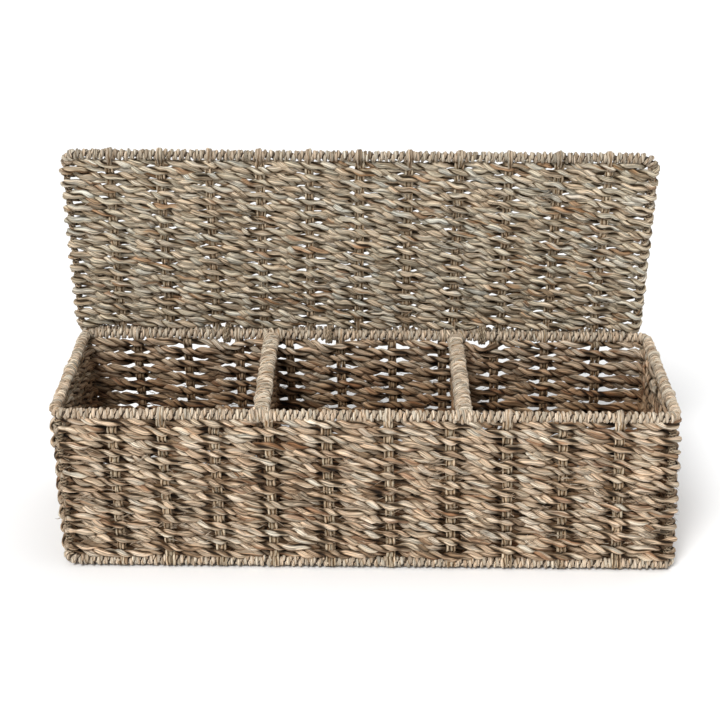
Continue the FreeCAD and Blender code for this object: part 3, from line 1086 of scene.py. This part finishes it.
@dataclass
class RimBindings:
    """Cord wound round the box's two wire frames."""

    maker: Maker
    reach: float = 2.6 * MM
    base_reach: float = 2.4 * MM
    pitch: float = 4.7 * MM

    def wound(
        self,
        place: Callable[[np.ndarray], tuple[np.ndarray, np.ndarray, np.ndarray]],
        start: float,
        stop: float,
        whole: float,
        reach: tuple[float, float],
        seed: float,
        lean: bool = False,
    ) -> Route:
        """A cord wound round a line.

        Args:
            place: gives the line's places, upward and outward directions at distances along it.
            start: where the winding starts.
            stop: where it ends.
            whole: the length in which it has a whole number of turns.
            reach: the winding's radius outwards and upwards.
            seed: sets it apart from the others.
            lean: whether it leans with the box.

        Returns:
            The route.
        """
        pitch = whole / round(whole / self.pitch)
        s = np.arange(start, stop + pitch / 28, pitch / 14)
        axis, up, out = place(s)
        turn = -math.tau * (s / pitch + 0.13 * waver(s, whole, seed, (17, 36, 59, 93)))
        breadth, height = reach
        swell = (1 + 0.05 * waver(s, whole, seed + 3, (21, 38, 57, 83)))[:, None]
        radial = up * np.cos(turn)[:, None] * height + out * np.sin(turn)[:, None] * breadth
        points = axis + radial * swell
        once = math.pi * (3 * (breadth + height) - math.sqrt((3 * breadth + height) * (breadth + 3 * height)))
        rounds = round(whole / pitch * math.hypot(once, pitch) / BINDING_CORD.lay)
        turns = seed - s / whole * rounds + 0.10 * waver(s, whole, seed + 5, (11, 23, 39, 61))
        tone = fraction(seed * GOLDEN)
        if lean:
            points = self.maker.box.leaned(points)
        return Route(points, unit(radial), turns, tone, along=turns * BINDING_CORD.lay + seed)

    def build(self) -> None:
        """Make the four bindings of each frame."""
        box = self.maker.box
        loop = RoundedLoop(box.half_width, box.half_depth, box.corner)
        right_front = loop.right(-box.half_depth + box.corner) - loop.half_arc
        half = loop.length / 2
        spans = {
            "front": (0.0, right_front),
            "right_end": (right_front, half),
            "back": (half, half + right_front),
            "left_end": (half + right_front, loop.length),
        }
        base = box.base_z + box.base_lift
        levels = (("rim", box.rim_z, self.reach, 0.31), ("base", base, self.base_reach, 0.83))
        for level, z, reach, seed in levels:

            def place(s: np.ndarray, z: float = z) -> tuple[np.ndarray, np.ndarray, np.ndarray]:
                """The frame's line."""
                x, y, out_x, out_y = loop.at(s)
                return columns(x, y, z), np.broadcast_to(UP, (len(x), 3)), columns(out_x, out_y, 0.0)

            for side, (start, stop) in spans.items():
                route = self.wound(place, start, stop, loop.length, (reach, reach), seed, lean=level == "base")
                self.maker.piece(f"{side}_{level}_cord", [route], Kind.BOX_BINDING, f"{side}_{level}_binding")


@dataclass
class Dividers:
    """The two cross walls and their bound bars."""

    maker: Maker
    walls: BoxWalls
    bindings: RimBindings
    weave_reach: float = 1.1 * MM
    stake_reach: float = 1.5 * MM
    bar_reach: float = 4.7 * MM
    rise: float = 3.0 * MM
    lashing_reach: float = 4.0 * MM
    stake_places: tuple[float, ...] = (-38 * MM, 0.0, 38 * MM)

    def _rows(self, x: float, seed: float) -> list[Route]:
        """The rope rows from the front wall to the back wall.

        Args:
            x: the divider's place.
            seed: sets it apart from the other.

        Returns:
            Their routes.
        """
        box = self.maker.box
        reach = box.half_depth - 3.5 * MM
        y = np.linspace(-reach, reach, int(2 * reach / ROPE.section))
        count = (y - 2 * self.stake_places[0]) / self.stake_places[-1]
        routes = []
        for row in range(self.walls.rows):
            aside = self.weave_reach * np.cos(np.pi * (count + row))
            level = self.walls.row_height(row) + 0.3 * MM * waver(y, 0.3, seed + row, (2, 3, 5, 8))
            points = box.leaned(columns(x + aside, y, level))
            turns = y / ROPE.lay + row * GOLDEN + seed + 0.08 * waver(y, 0.3, seed + row + 4, (3, 5, 9, 13))
            tone = fraction(row * GOLDEN + seed)
            routes.append(Route(points, UP, turns, tone, along=y + 2.0 * row + 60 * seed))
        return routes

    def _stakes(self, x: float, seed: float) -> list[Route]:
        """The stakes' cords.

        Args:
            x: the divider's place.
            seed: sets it apart from the other.

        Returns:
            Their routes.
        """
        box = self.maker.box
        level = np.arange(self.walls.foot, box.rim_z - 2 * MM, 1.5 * MM)
        row = (level - self.walls.row_height(0)) / self.walls.pitch
        routes = []
        for number, y in enumerate(self.stake_places):
            aside = -self.stake_reach * np.cos(np.pi * (number + 1 + row))
            for hand in (-1, 1):
                points = columns(x + aside, y + hand * CORD_GAP, level)
                turns = travel(points) / STAKE_CORD.lay + seed + number + 0.3 * hand
                routes.append(Route(box.leaned(points), AHEAD, turns, 0.4 + 0.1 * number))
        return routes

    def _bar(self, x: float, seed: float) -> list[Route]:
        """The winding along the bar, and the turns that lash its ends to the rims.

        Args:
            x: the bar's place.
            seed: sets it apart from the other.

        Returns:
            Their routes.
        """
        box = self.maker.box
        reach = box.half_depth - 3.0 * MM
        lashing = (self.lashing_reach, self.lashing_reach)

        def along_bar(s: np.ndarray) -> tuple[np.ndarray, np.ndarray, np.ndarray]:
            """The bar's line."""
            axis = columns(x, s - reach, box.rim_z)
            return axis, np.broadcast_to(UP, axis.shape), np.broadcast_to(RIGHT, axis.shape)

        routes = [self.bindings.wound(along_bar, 0.0, 2 * reach, 2 * reach, (self.bar_reach, self.rise), seed)]
        for end in (-1, 1):

            def along_rim(s: np.ndarray, end: int = end) -> tuple[np.ndarray, np.ndarray, np.ndarray]:
                """The rim's line where the bar meets it."""
                axis = columns(x + s, end * box.half_depth, box.rim_z)
                return axis, np.broadcast_to(UP, axis.shape), np.broadcast_to(end * AHEAD, axis.shape)

            half = 1.5 * self.bindings.pitch
            routes.append(self.bindings.wound(along_rim, -half, half, 0.23, lashing, seed + end))
        return routes

    def build(self) -> None:
        """Make both dividers."""
        for name, seed in (("left_divider", 0.37), ("right_divider", 0.71)):
            x = float(centre(f"{name}_bar_wire")[0])
            self.maker.piece(f"{name}_rope", self._rows(x, seed), Kind.BOX_ROPE, f"{name}_weave")
            self.maker.piece(f"{name}_stake_cords", self._stakes(x, seed), Kind.BOX_STAKE, f"{name}_stakes")
            self.maker.piece(f"{name}_bar_cord", self._bar(x, seed), Kind.BOX_BINDING, f"{name}_bar_binding")


@dataclass
class Floor:
    """The woven floor between the base bindings."""

    maker: Maker
    rows: int = 25
    level: float = 5.4 * MM
    weave_reach: float = 0.9 * MM
    stakes: int = 10
    pitch: float = 40.9 * MM

    def build(self) -> None:
        """Make the floor's rope and stakes."""
        box = self.maker.box
        inside = box.half_depth - 2.6 * MM
        reach = box.half_width - 3.0 * MM
        gap = 2 * inside / self.rows
        x = np.linspace(-reach, reach, int(2 * reach / ROPE.section))
        count = x / self.pitch + (self.stakes - 1) / 2
        rows = []
        for row in range(self.rows):
            level = self.level + self.weave_reach * np.cos(np.pi * (count + row))
            y = -inside + (row + 0.5) * gap + 0.35 * MM * waver(x, 1.0, row + 30.0, (3, 7, 13, 21))
            turns = x / ROPE.lay + row * GOLDEN + 0.1 * waver(x, 1.0, row + 70.0, (5, 11, 19, 33))
            points = box.leaned(columns(x, y, level))
            rows.append(Route(points, AHEAD, turns, fraction(row * GOLDEN), along=x + 2.0 * row))
        self.maker.piece("floor_rope", rows, Kind.BOX_ROPE, "floor_weave")
        y = np.arange(-inside, inside, 1.5 * MM)
        row = (y + inside) / gap - 0.5
        cords = []
        for number in range(self.stakes):
            x = (number - (self.stakes - 1) / 2) * self.pitch
            level = self.level - self.weave_reach * np.cos(np.pi * (number + row))
            for hand in (-1, 1):
                points = box.leaned(columns(x + hand * CORD_GAP, y, level))
                turns = travel(points) / STAKE_CORD.lay + 0.3 * number + 0.2 * hand
                cords.append(Route(points, RIGHT, turns, fraction(0.3 * number)))
        self.maker.piece("floor_stake_cords", cords, Kind.BOX_STAKE, "floor_stakes")


@dataclass(frozen=True)
class LidPlane:
    """Where the open lid lies: u to the right, v from its rear rim to its front rim, w to its inside."""

    origin: np.ndarray
    v_way: np.ndarray
    w_way: np.ndarray
    half_width: float
    depth: float
    corner: float

    @classmethod
    def from_frame(cls, box: BoxFrame) -> "LidPlane":
        """Read from the box of the lid's frame wire.

        Args:
            box: the box's frame, for its wire and corners.

        Returns:
            The plane.
        """
        low, high = (np.array(corner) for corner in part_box("lid_frame_wire"))
        low, high = low + box.wire_radius, high - box.wire_radius
        origin = np.array(((low[0] + high[0]) / 2, high[1], low[2]))
        run = np.array((0.0, low[1] - high[1], high[2] - low[2]))
        depth = float(np.linalg.norm(run))
        v_way = run / depth
        return cls(origin, v_way, np.cross(RIGHT, v_way), (high[0] - low[0]) / 2, depth, box.corner)

    def place(self, u: np.ndarray, v: np.ndarray, w: np.ndarray) -> np.ndarray:
        """Points from distances across, up and through the lid."""
        return self.origin + np.outer(u, RIGHT) + np.outer(v, self.v_way) + np.outer(w, self.w_way)


@dataclass
class Lid:
    """The lid: one long rope to and fro between its side wires, stakes, and bound rims."""

    maker: Maker
    bindings: RimBindings
    rows: int = 28
    seat: float = 4.4 * MM
    weave_reach: float = 1.5 * MM
    stakes: int = 11
    stake_pitch: float = 38.0 * MM
    turn_reach: float = 2.9 * MM
    stake_reach: float = 1.9 * MM
    loop_reach: tuple[float, float] = (3.5 * MM, 4.1 * MM)
    wrap_reach: float = 2.1 * MM
    wrap_pitch: float = 3.0 * MM
    plane: LidPlane = field(init=False)

    def __post_init__(self) -> None:
        """Find the lid and its ties."""
        self.plane = LidPlane.from_frame(self.maker.box)
        self.tie_places = [float(centre(f"hinge_tie_{n}")[0] - self.plane.origin[0]) for n in (1, 2, 3)]
        half = self.plane.half_width
        places = [(n - (self.stakes - 1) / 2) * self.stake_pitch for n in range(self.stakes)]
        self.knots = np.array([-half, *places, half])

    @property
    def pitch(self) -> float:
        """From row to row."""
        return (self.plane.depth - 2 * self.seat) / self.rows

    def _row_level(self, row: int, u: np.ndarray) -> np.ndarray:
        """The middle of a row, clear of the ties.

        Args:
            row: its number, from the rear rim.
            u: distances across the lid.

        Returns:
            Its distance up the lid at each.
        """
        level = self.seat + (row + 0.5) * self.pitch + 0.30 * MM * waver(u, 0.9, 21.0)
        level = level + 0.22 * MM * waver(u, 0.9, row + 40.0, (6, 13, 22, 34))
        if row < 2:
            for tie in self.tie_places:
                level = level + (2.6 - 1.5 * row) * MM * nearness(u, tie, 9 * MM)
        return level

    def _rope(self) -> Route:
        """The whole rope, row after row and round the side wires.

        Returns:
            Its route.
        """
        half = self.plane.half_width - 1.0 * MM
        points, girths, tucks = [], [], []
        for row in range(self.rows):
            way = 1 if row % 2 == 0 else -1
            u = way * np.linspace(-half, half, int(2 * half / ROPE.section))
            count = np.interp(u, self.knots, np.arange(len(self.knots)))
            swing = np.cos(np.pi * (count + row))
            w = self.weave_reach * swing
            tucks.append(np.outer(-0.7 * swing * np.abs(swing), self.plane.w_way))
            near_end = np.clip((np.abs(u) - half + 14 * MM) / (14 * MM), 0, 1)
            w = w * (1 + near_end * (self.turn_reach / self.weave_reach - 1))
            w = w + 0.2 * MM * waver(u, 0.9, row + 80.0, (9, 17, 28, 41))
            v = self._row_level(row, u)
            points.append(self.plane.place(u, v, w))
            girths.append(1.03 * pinched(u, self.knots[1:-1], row + 50, 0.24) * (1.0 - 0.14 * near_end))
            if row + 1 < self.rows:
                following = self._row_level(row + 1, u[-1:])[0]
                sign = math.copysign(1.0, float(w[-1]))
                angle = np.linspace(math.pi / 2, -math.pi / 2, 9)[1:-1]
                turn_u = u[-1] + way * (self.turn_reach * np.cos(angle) + 1.0 * MM)
                turn_v = v[-1] + (following - v[-1]) * (0.5 - 0.5 * np.sin(angle))
                points.append(self.plane.place(turn_u, turn_v, sign * self.turn_reach * np.sin(angle)))
                girths.append(np.full(len(angle), 0.86))
                tucks.append(np.zeros((len(angle), 3)))
        line = np.vstack(points)
        length = travel(line)
        turns = length / ROPE.lay + 0.15 * waver(length, 3.0, 3.3, (60, 97, 131, 173))
        girth, tuck = np.concatenate(girths), np.vstack(tucks)
        return Route(line, self.plane.v_way, turns, 0.3, length + 80.0, girth, tuck)

    def _stake_cords(self) -> list[Route]:
        """The routes of the stakes' cords, two to a stake.

        Returns:
            Their routes.
        """
        v = np.arange(self.seat - 1 * MM, self.plane.depth - self.seat + 1 * MM, 1.4 * MM)
        row = (v - self.seat) / self.pitch - 0.5
        routes = []
        for number, u in enumerate(self.knots[1:-1], start=1):
            w = -self.stake_reach * np.cos(np.pi * (number + row))
            for hand in (-1, 1):
                gap = hand * CORD_GAP * (1 + 0.25 * math.sin(3.3 * number + hand))
                points = self.plane.place(np.full_like(v, u + gap), v, w)
                turns = 0.09 * waver(travel(points), 0.17, 3.0 * number + hand)
                routes.append(Route(points, RIGHT, turns, fraction(0.37 * number + 0.3 * hand + 3)))
        return routes

    def _rim_loop(self, u: float, number: int, end: int) -> Route:
        """One cord over a rim beside a stake.

        Args:
            u: the stake's place across the lid.
            number: its number.
            end: 0 at the rear rim, 1 at the front rim.

        Returns:
            The route.
        """
        over = self.loop_reach[end]
        face = -1 if (number + end * (self.rows - 1)) % 2 else 1
        sense = 1 if end else -1
        rim = end * self.plane.depth
        knots = [(face * 0.5 * MM, rim - sense * 12 * MM), (face * 3.0 * MM, rim - sense * 7.5 * MM)]
        knots += arc((0.0, rim), (face * over, sense * over), (-10, 30, 90, 150, 190))
        knots.append((-face * 1.5 * MM, rim - sense * 7 * MM))
        path = softened(knots)
        across = np.full(len(path), u + 0.5 * MM * math.sin(number))
        points = self.plane.place(across, path[:, 1], path[:, 0])
        turns = 0.07 * waver(travel(points), 0.05, number + 0.4)
        girth = 0.8 + 0.3 * nearness(np.linspace(0, 1, len(points)), 0.6, 0.25)
        return Route(points, RIGHT, turns, fraction(0.53 * number), girth=girth)

    def _rims(self) -> dict[str, Route]:
        """The windings round the rear and front rims and their corners.

        Returns:
            Each route by the name of its rim.
        """
        plane = self.plane
        loop = RoundedLoop(plane.half_width, plane.depth / 2, plane.corner)

        def place(s: np.ndarray) -> tuple[np.ndarray, np.ndarray, np.ndarray]:
            """The lid frame's line."""
            u, v, out_u, out_v = loop.at(s)
            axis = plane.place(u, v + plane.depth / 2, np.zeros_like(u))
            out = np.outer(out_u, RIGHT) + np.outer(out_v, plane.v_way)
            return axis, np.broadcast_to(plane.w_way, axis.shape), out

        reach = (self.bindings.reach, self.bindings.reach)
        far = loop.right(-plane.depth / 2 + plane.corner)
        near = -loop.half_arc
        rims = {"rear": (0.0, 0.47), "front": (loop.length / 2, 0.59)}
        return {
            name: self.bindings.wound(place, start + near, start + far, loop.length, reach, seed)
            for name, (start, seed) in rims.items()
        }

    def _side_wrapping(self) -> list[Route]:
        """The routes of thin cord wound round the two side wires, under the rope.

        Returns:
            Their routes.
        """
        routes = []
        v = np.arange(7 * MM, self.plane.depth - 7 * MM, 0.3 * MM)
        angle = math.tau * v / self.wrap_pitch
        for hand in (-1, 1):
            wire = np.full_like(v, hand * self.plane.half_width)
            middle = self.plane.place(wire, v, np.zeros_like(v))
            reach = self.wrap_reach
            points = self.plane.place(wire + reach * np.cos(angle), v, reach * np.sin(angle))
            routes.append(Route(points, unit(points - middle), travel(points) / TIE_CORD.lay, 0.5 + 0.2 * hand))
        return routes

    def build(self) -> None:
        """Make the lid's pieces."""
        self.maker.piece("lid_rope", [self._rope()], Kind.LID_ROPE, "lid_weave")
        self.maker.piece("lid_stake_cords", self._stake_cords(), Kind.LID_STAKE, "lid_stakes")
        places = enumerate(self.knots[1:-1], start=1)
        loops = [self._rim_loop(float(u), number, end) for number, u in places for end in (0, 1)]
        self.maker.piece("lid_rim_loops", loops, Kind.LID_BINDING)
        self.maker.piece("lid_side_wrapping", self._side_wrapping(), Kind.LID_WRAPPING)
        for name, route in self._rims().items():
            self.maker.piece(f"lid_{name}_cord", [route], Kind.LID_BINDING, f"lid_{name}_binding")


@dataclass
class HingeTies:
    """Three bands of thin cord round the lid's rear rim and the box's back rim."""

    maker: Maker
    lid: Lid
    reach: float = 5.95 * MM
    turns: int = 3
    spacing: float = 1.9 * MM

    def build(self) -> None:
        """Make each tie."""
        box = self.maker.box
        near = np.array((box.half_depth, box.rim_z))
        far = self.lid.plane.origin[1:]
        heading = math.atan2(far[1] - near[1], far[0] - near[0])
        half = math.pi / 2
        rounds = [(near, a) for a in np.linspace(heading + half, heading + 3 * half, 9)]
        rounds += [(far, a) for a in np.linspace(heading - half, heading + half, 9)]
        ring = [centre_point + self.reach * np.array((math.cos(a), math.sin(a))) for centre_point, a in rounds]
        outward = [np.array((math.cos(a), math.sin(a))) for _, a in rounds]
        for number in (1, 2, 3):
            x = float(centre(f"hinge_tie_{number}")[0])
            count = len(ring) * self.turns + 1
            places = np.array([ring[i % len(ring)] for i in range(count)])
            ways = np.array([outward[i % len(ring)] for i in range(count)])
            across = x + self.spacing * (np.arange(count) / len(ring) - self.turns / 2)
            points = np.column_stack((across, places))
            side = np.column_stack((np.zeros(count), ways))
            route = Route(points, side, travel(points) / TIE_CORD.lay, 0.3 * number)
            self.maker.piece(f"hinge_tie_cord_{number}", [route], Kind.LID_WRAPPING, f"hinge_tie_{number}")


@dataclass
class StrayFibres:
    """Loose ends of grass that stand off the rope, singly and in small tufts."""

    maker: Maker
    walls: BoxWalls
    lid: Lid
    singles: float = 1.3
    tufts: int = 10
    seed: int = 71
    wall_skin: float = 4.4 * MM
    lid_skin: float = 3.6 * MM

    def _fibre(
        self, chance: np.random.Generator, start: np.ndarray, along: np.ndarray, out: np.ndarray, up: np.ndarray
    ) -> Route:
        """One fibre that starts in the rope's skin, follows it and lifts off.

        Args:
            chance: the seeded generator.
            start: where it starts.
            along: the rope's direction.
            out: away from the panel.
            up: across the rope, in the panel.

        Returns:
            The route.
        """
        length = chance.uniform(5, 13) * MM
        slant = float(np.clip(chance.normal(0, 0.4), -0.8, 0.8))
        lift = chance.uniform(0.0, 0.2)
        bend = float(np.clip(chance.normal(0, 0.25), -0.5, 0.5))
        heading = along * chance.choice((-1.0, 1.0)) + up * slant
        t = np.linspace(0, 1, 8)[:, None]
        line = start + length * (t * heading + t**2 * (lift * out + bend * up) - 0.06 * (1 - t) * out)
        girth = chance.uniform(0.7, 1.5) * (1.05 - t[:, 0] ** 1.5)
        return Route(line, out + 0.3 * up, np.zeros(8), float(chance.uniform()), girth=girth)

    def _on(
        self, chance: np.random.Generator, count: int, spot: Callable[[], tuple[np.ndarray, ...]]
    ) -> list[Route]:
        """Single fibres and tufts at places that spot gives.

        Args:
            chance: the seeded generator.
            count: how many single fibres there are.
            spot: gives a place, the rope's direction, and the ways out and up.

        Returns:
            Their routes.
        """
        fibres = [self._fibre(chance, *spot()) for _ in range(count)]
        for _ in range(count * self.tufts // 100):
            start, along, out, up = spot()
            for _ in range(int(chance.integers(4, 9))):
                nudge = chance.normal(0, 0.8 * MM) * up + chance.normal(0, 1.0 * MM) * along
                fibres.append(self._fibre(chance, start + nudge, along, out, up))
        return fibres

    def _wall_spot(self, chance: np.random.Generator, start: float, stop: float) -> tuple[np.ndarray, ...]:
        """A place on a wall's outer or inner skin.

        Args:
            chance: the seeded generator.
            start: where the wall starts, as a distance round the box.
            stop: where it ends.

        Returns:
            The place, the rope's direction, and the ways out and up.
        """
        row = int(chance.integers(2, self.walls.rows - 4))
        s = np.array([chance.uniform(start, stop)])
        x, y, out_x, out_y = (value[0] for value in self.walls.loop.at(s))
        face = 1.0 if chance.uniform() < 0.7 else -1.0
        out = np.array((out_x, out_y, 0.0))
        level = self.walls.row_height(row) + chance.uniform(-1.5, 1.5) * MM
        place = np.array((x, y, level)) + face * self.wall_skin * out
        return self.maker.box.leaned(place[None])[0], np.array((-out_y, out_x, 0.0)), face * out, UP

    def _lid_spot(self, chance: np.random.Generator) -> tuple[np.ndarray, ...]:
        """A place on the lid's inner or outer skin.

        Args:
            chance: the seeded generator.

        Returns:
            The place, the rope's direction, and the ways out and up.
        """
        plane = self.lid.plane
        u = np.array([chance.uniform(-0.97, 0.97) * plane.half_width])
        v = np.array([chance.uniform(0.1, 0.9) * plane.depth])
        face = 1.0 if chance.uniform() < 0.6 else -1.0
        return plane.place(u, v, np.array([face * self.lid_skin]))[0], RIGHT, face * plane.w_way, plane.v_way

    def build(self) -> None:
        """Make the fibres of each wall and of the lid."""
        chance = np.random.default_rng(self.seed)
        loop = self.walls.loop
        clear = 9 * MM
        wide, deep = self.maker.box.half_width - clear, self.maker.box.half_depth - clear
        spans = {
            "front_wall": (loop.half_arc, loop.front(wide)),
            "right_end": (loop.right(-deep), loop.right(self.walls.cut)),
            "back_wall": (loop.length / 2 + clear, loop.back(-wide)),
            "left_end": (loop.left(self.walls.cut), loop.left(-deep)),
        }
        for side, (start, stop) in spans.items():
            count = int((stop - start) / MM * self.singles)
            fibres = self._on(chance, count, lambda a=start, b=stop: self._wall_spot(chance, a, b))
            self.maker.piece(f"{side}_stray_fibres", fibres, Kind.BOX_FIBRE)
        count = int(2 * self.lid.plane.half_width / MM * self.singles)
        fibres = self._on(chance, count, lambda: self._lid_spot(chance))
        self.maker.piece("lid_stray_fibres", fibres, Kind.LID_FIBRE)


@dataclass
class Wirework:
    """The steel wires that the cords cover."""

    maker: Maker
    walls: BoxWalls
    wrap_reach: float = 2.3 * MM
    wrap_pitch: float = 2.6 * MM

    def _post_wrap(self, foot: np.ndarray, number: int) -> Route:
        """Thin cord wound round a corner post, under the rope.

        Args:
            foot: the post's place.
            number: the post's number.

        Returns:
            The route.
        """
        box = self.maker.box
        z = np.arange(box.base_z + 5 * MM, box.rim_z - 5 * MM, 0.3 * MM)
        angle = math.tau * z / self.wrap_pitch
        way = columns(np.cos(angle), np.sin(angle), 0.0)
        points = box.leaned(columns(foot[0], foot[1], z) + self.wrap_reach * way)
        return Route(points, way, travel(points) / TIE_CORD.lay, 0.2 * number)

    def build(self) -> None:
        """Make the leaned foot frame and posts, and dress the wires that stay."""
        box, loop = self.maker.box, self.walls.loop
        s = np.linspace(0, loop.length, 400)
        x, y, _, _ = loop.at(np.where(s >= loop.length, 0.0, s))
        ring = Route(box.leaned(columns(x, y, box.base_z + box.base_lift)), UP, s / BARE_WIRE.lay, 0.5)
        self.maker.piece("base_frame_rod", [ring], Kind.BOX_WIRE, "base_frame_wire")
        wraps = []
        z = np.linspace(box.base_z, box.rim_z, 30)
        for number, corner in enumerate(("front_left", "front_right", "back_left", "back_right")):
            foot = centre(f"{corner}_corner_post")
            wraps.append(self._post_wrap(foot, number))
            post = Route(box.leaned(columns(foot[0], foot[1], z)), RIGHT, z / BARE_WIRE.lay, 0.5)
            self.maker.piece(f"{corner}_corner_rod", [post], Kind.BOX_WIRE, f"{corner}_corner_post")
        self.maker.piece("corner_post_wrapping", wraps, Kind.BOX_WRAPPING)
        for node in ("rim_frame_wire", "left_divider_bar_wire", "right_divider_bar_wire", "lid_frame_wire"):
            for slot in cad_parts[node].material_slots:
                slot.material = self.maker.materials[Finish.WIRE]


@dataclass(frozen=True)
class Studio:
    """Pale floor, soft light, and the camera."""

    camera_place: tuple[float, float, float] = (0.0, -1.2839, 0.6538)
    pitch: float = 22.088
    yaw: float = 0.062
    roll: float = 0.433
    lens: float = 91.1
    shift: tuple[float, float] = (-0.0053, 0.0054)
    floor_size: float = 8.0
    world_light: float = 0.36
    world_seen: float = 0.97

    def _camera(self) -> None:
        """Put the camera in place."""
        data = bpy.data.cameras.new("Studio_camera")
        data.lens = self.lens
        data.sensor_width = 36.0
        data.shift_x, data.shift_y = self.shift
        data.clip_end = 30.0
        camera = bpy.data.objects.new("Studio_camera", data)
        turn = (
            Matrix.Rotation(math.radians(self.yaw), 4, "Z")
            @ Matrix.Rotation(math.radians(90 - self.pitch), 4, "X")
            @ Matrix.Rotation(math.radians(self.roll), 4, "Z")
        )
        camera.matrix_world = Matrix.Translation(self.camera_place) @ turn
        bpy.context.scene.collection.objects.link(camera)
        bpy.context.scene.camera = camera

    def _floor(self) -> None:
        """A wide pale floor."""
        mesh = bpy.data.meshes.new("Studio_floor")
        size = self.floor_size
        corners = [(-size, -size, 0), (size, -size, 0), (size, size, 0), (-size, size, 0)]
        mesh.from_pydata(corners, [], [(0, 1, 2, 3)])
        floor = bpy.data.objects.new("Studio_floor", mesh)
        material = bpy.data.materials.new("Studio_floor")
        material.use_nodes = True
        shader = material.node_tree.nodes["Principled BSDF"]
        shader.inputs["Base Color"].default_value = (0.94, 0.94, 0.94, 1.0)
        shader.inputs["Roughness"].default_value = 0.9
        shader.inputs["Specular IOR Level"].default_value = 0.1
        mesh.materials.append(material)
        bpy.context.scene.collection.objects.link(floor)

    def _light(self, name: str, place: tuple[float, float, float], spread: float, power: float) -> None:
        """One soft, even light from a direction.

        Args:
            name: the light's name.
            place: where it shines from, towards the box's middle.
            spread: its angle in degrees, which softens its shadows.
            power: its strength.
        """
        data = bpy.data.lights.new(name, "SUN")
        data.angle = math.radians(spread)
        data.energy = power
        lamp = bpy.data.objects.new(name, data)
        aim = Vector((0.0, 0.0, 0.1)) - Vector(place)
        lamp.matrix_world = Matrix.Translation(place) @ aim.to_track_quat("-Z", "Y").to_matrix().to_4x4()
        bpy.context.scene.collection.objects.link(lamp)

    def build(self) -> None:
        """Set up the studio."""
        world = bpy.data.worlds.new("Studio_world")
        world.use_nodes = True
        bench = NodeBench(world.node_tree)
        seen = bench.add("ShaderNodeLightPath").outputs["Is Camera Ray"]
        strength = bench.ramp(seen, 0.0, 1.0, self.world_light, self.world_seen)
        background = world.node_tree.nodes["Background"]
        background.inputs[0].default_value = (1.0, 1.0, 1.0, 1.0)
        world.node_tree.links.new(strength, background.inputs[1])
        bpy.context.scene.world = world
        bpy.context.scene.view_settings.view_transform = "Standard"
        self._light("Key_lamp", (-0.6, -1.5, 1.7), 22.0, 2.62)
        self._light("Top_lamp", (0.5, 0.2, 2.3), 50.0, 0.9)
        self._floor()
        self._camera()


def main() -> None:
    """Build the basket and its studio."""
    logging.basicConfig(level=logging.INFO, format="%(message)s")
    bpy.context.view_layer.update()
    maker = Maker(CordTree(), Finish.made(), BoxFrame.from_frame())
    walls = BoxWalls(maker)
    walls.build()
    bindings = RimBindings(maker)
    bindings.build()
    Dividers(maker, walls, bindings).build()
    Floor(maker).build()
    lid = Lid(maker, bindings)
    lid.build()
    HingeTies(maker, lid).build()
    StrayFibres(maker, walls, lid).build()
    Wirework(maker, walls).build()
    Studio().build()
    total = sum(len(face.vertices) - 2 for piece in maker.made for face in piece.data.polygons)
    LOG.info("%d pieces, %d triangles", len(maker.made), total)


if __name__ == "__main__":
    main()
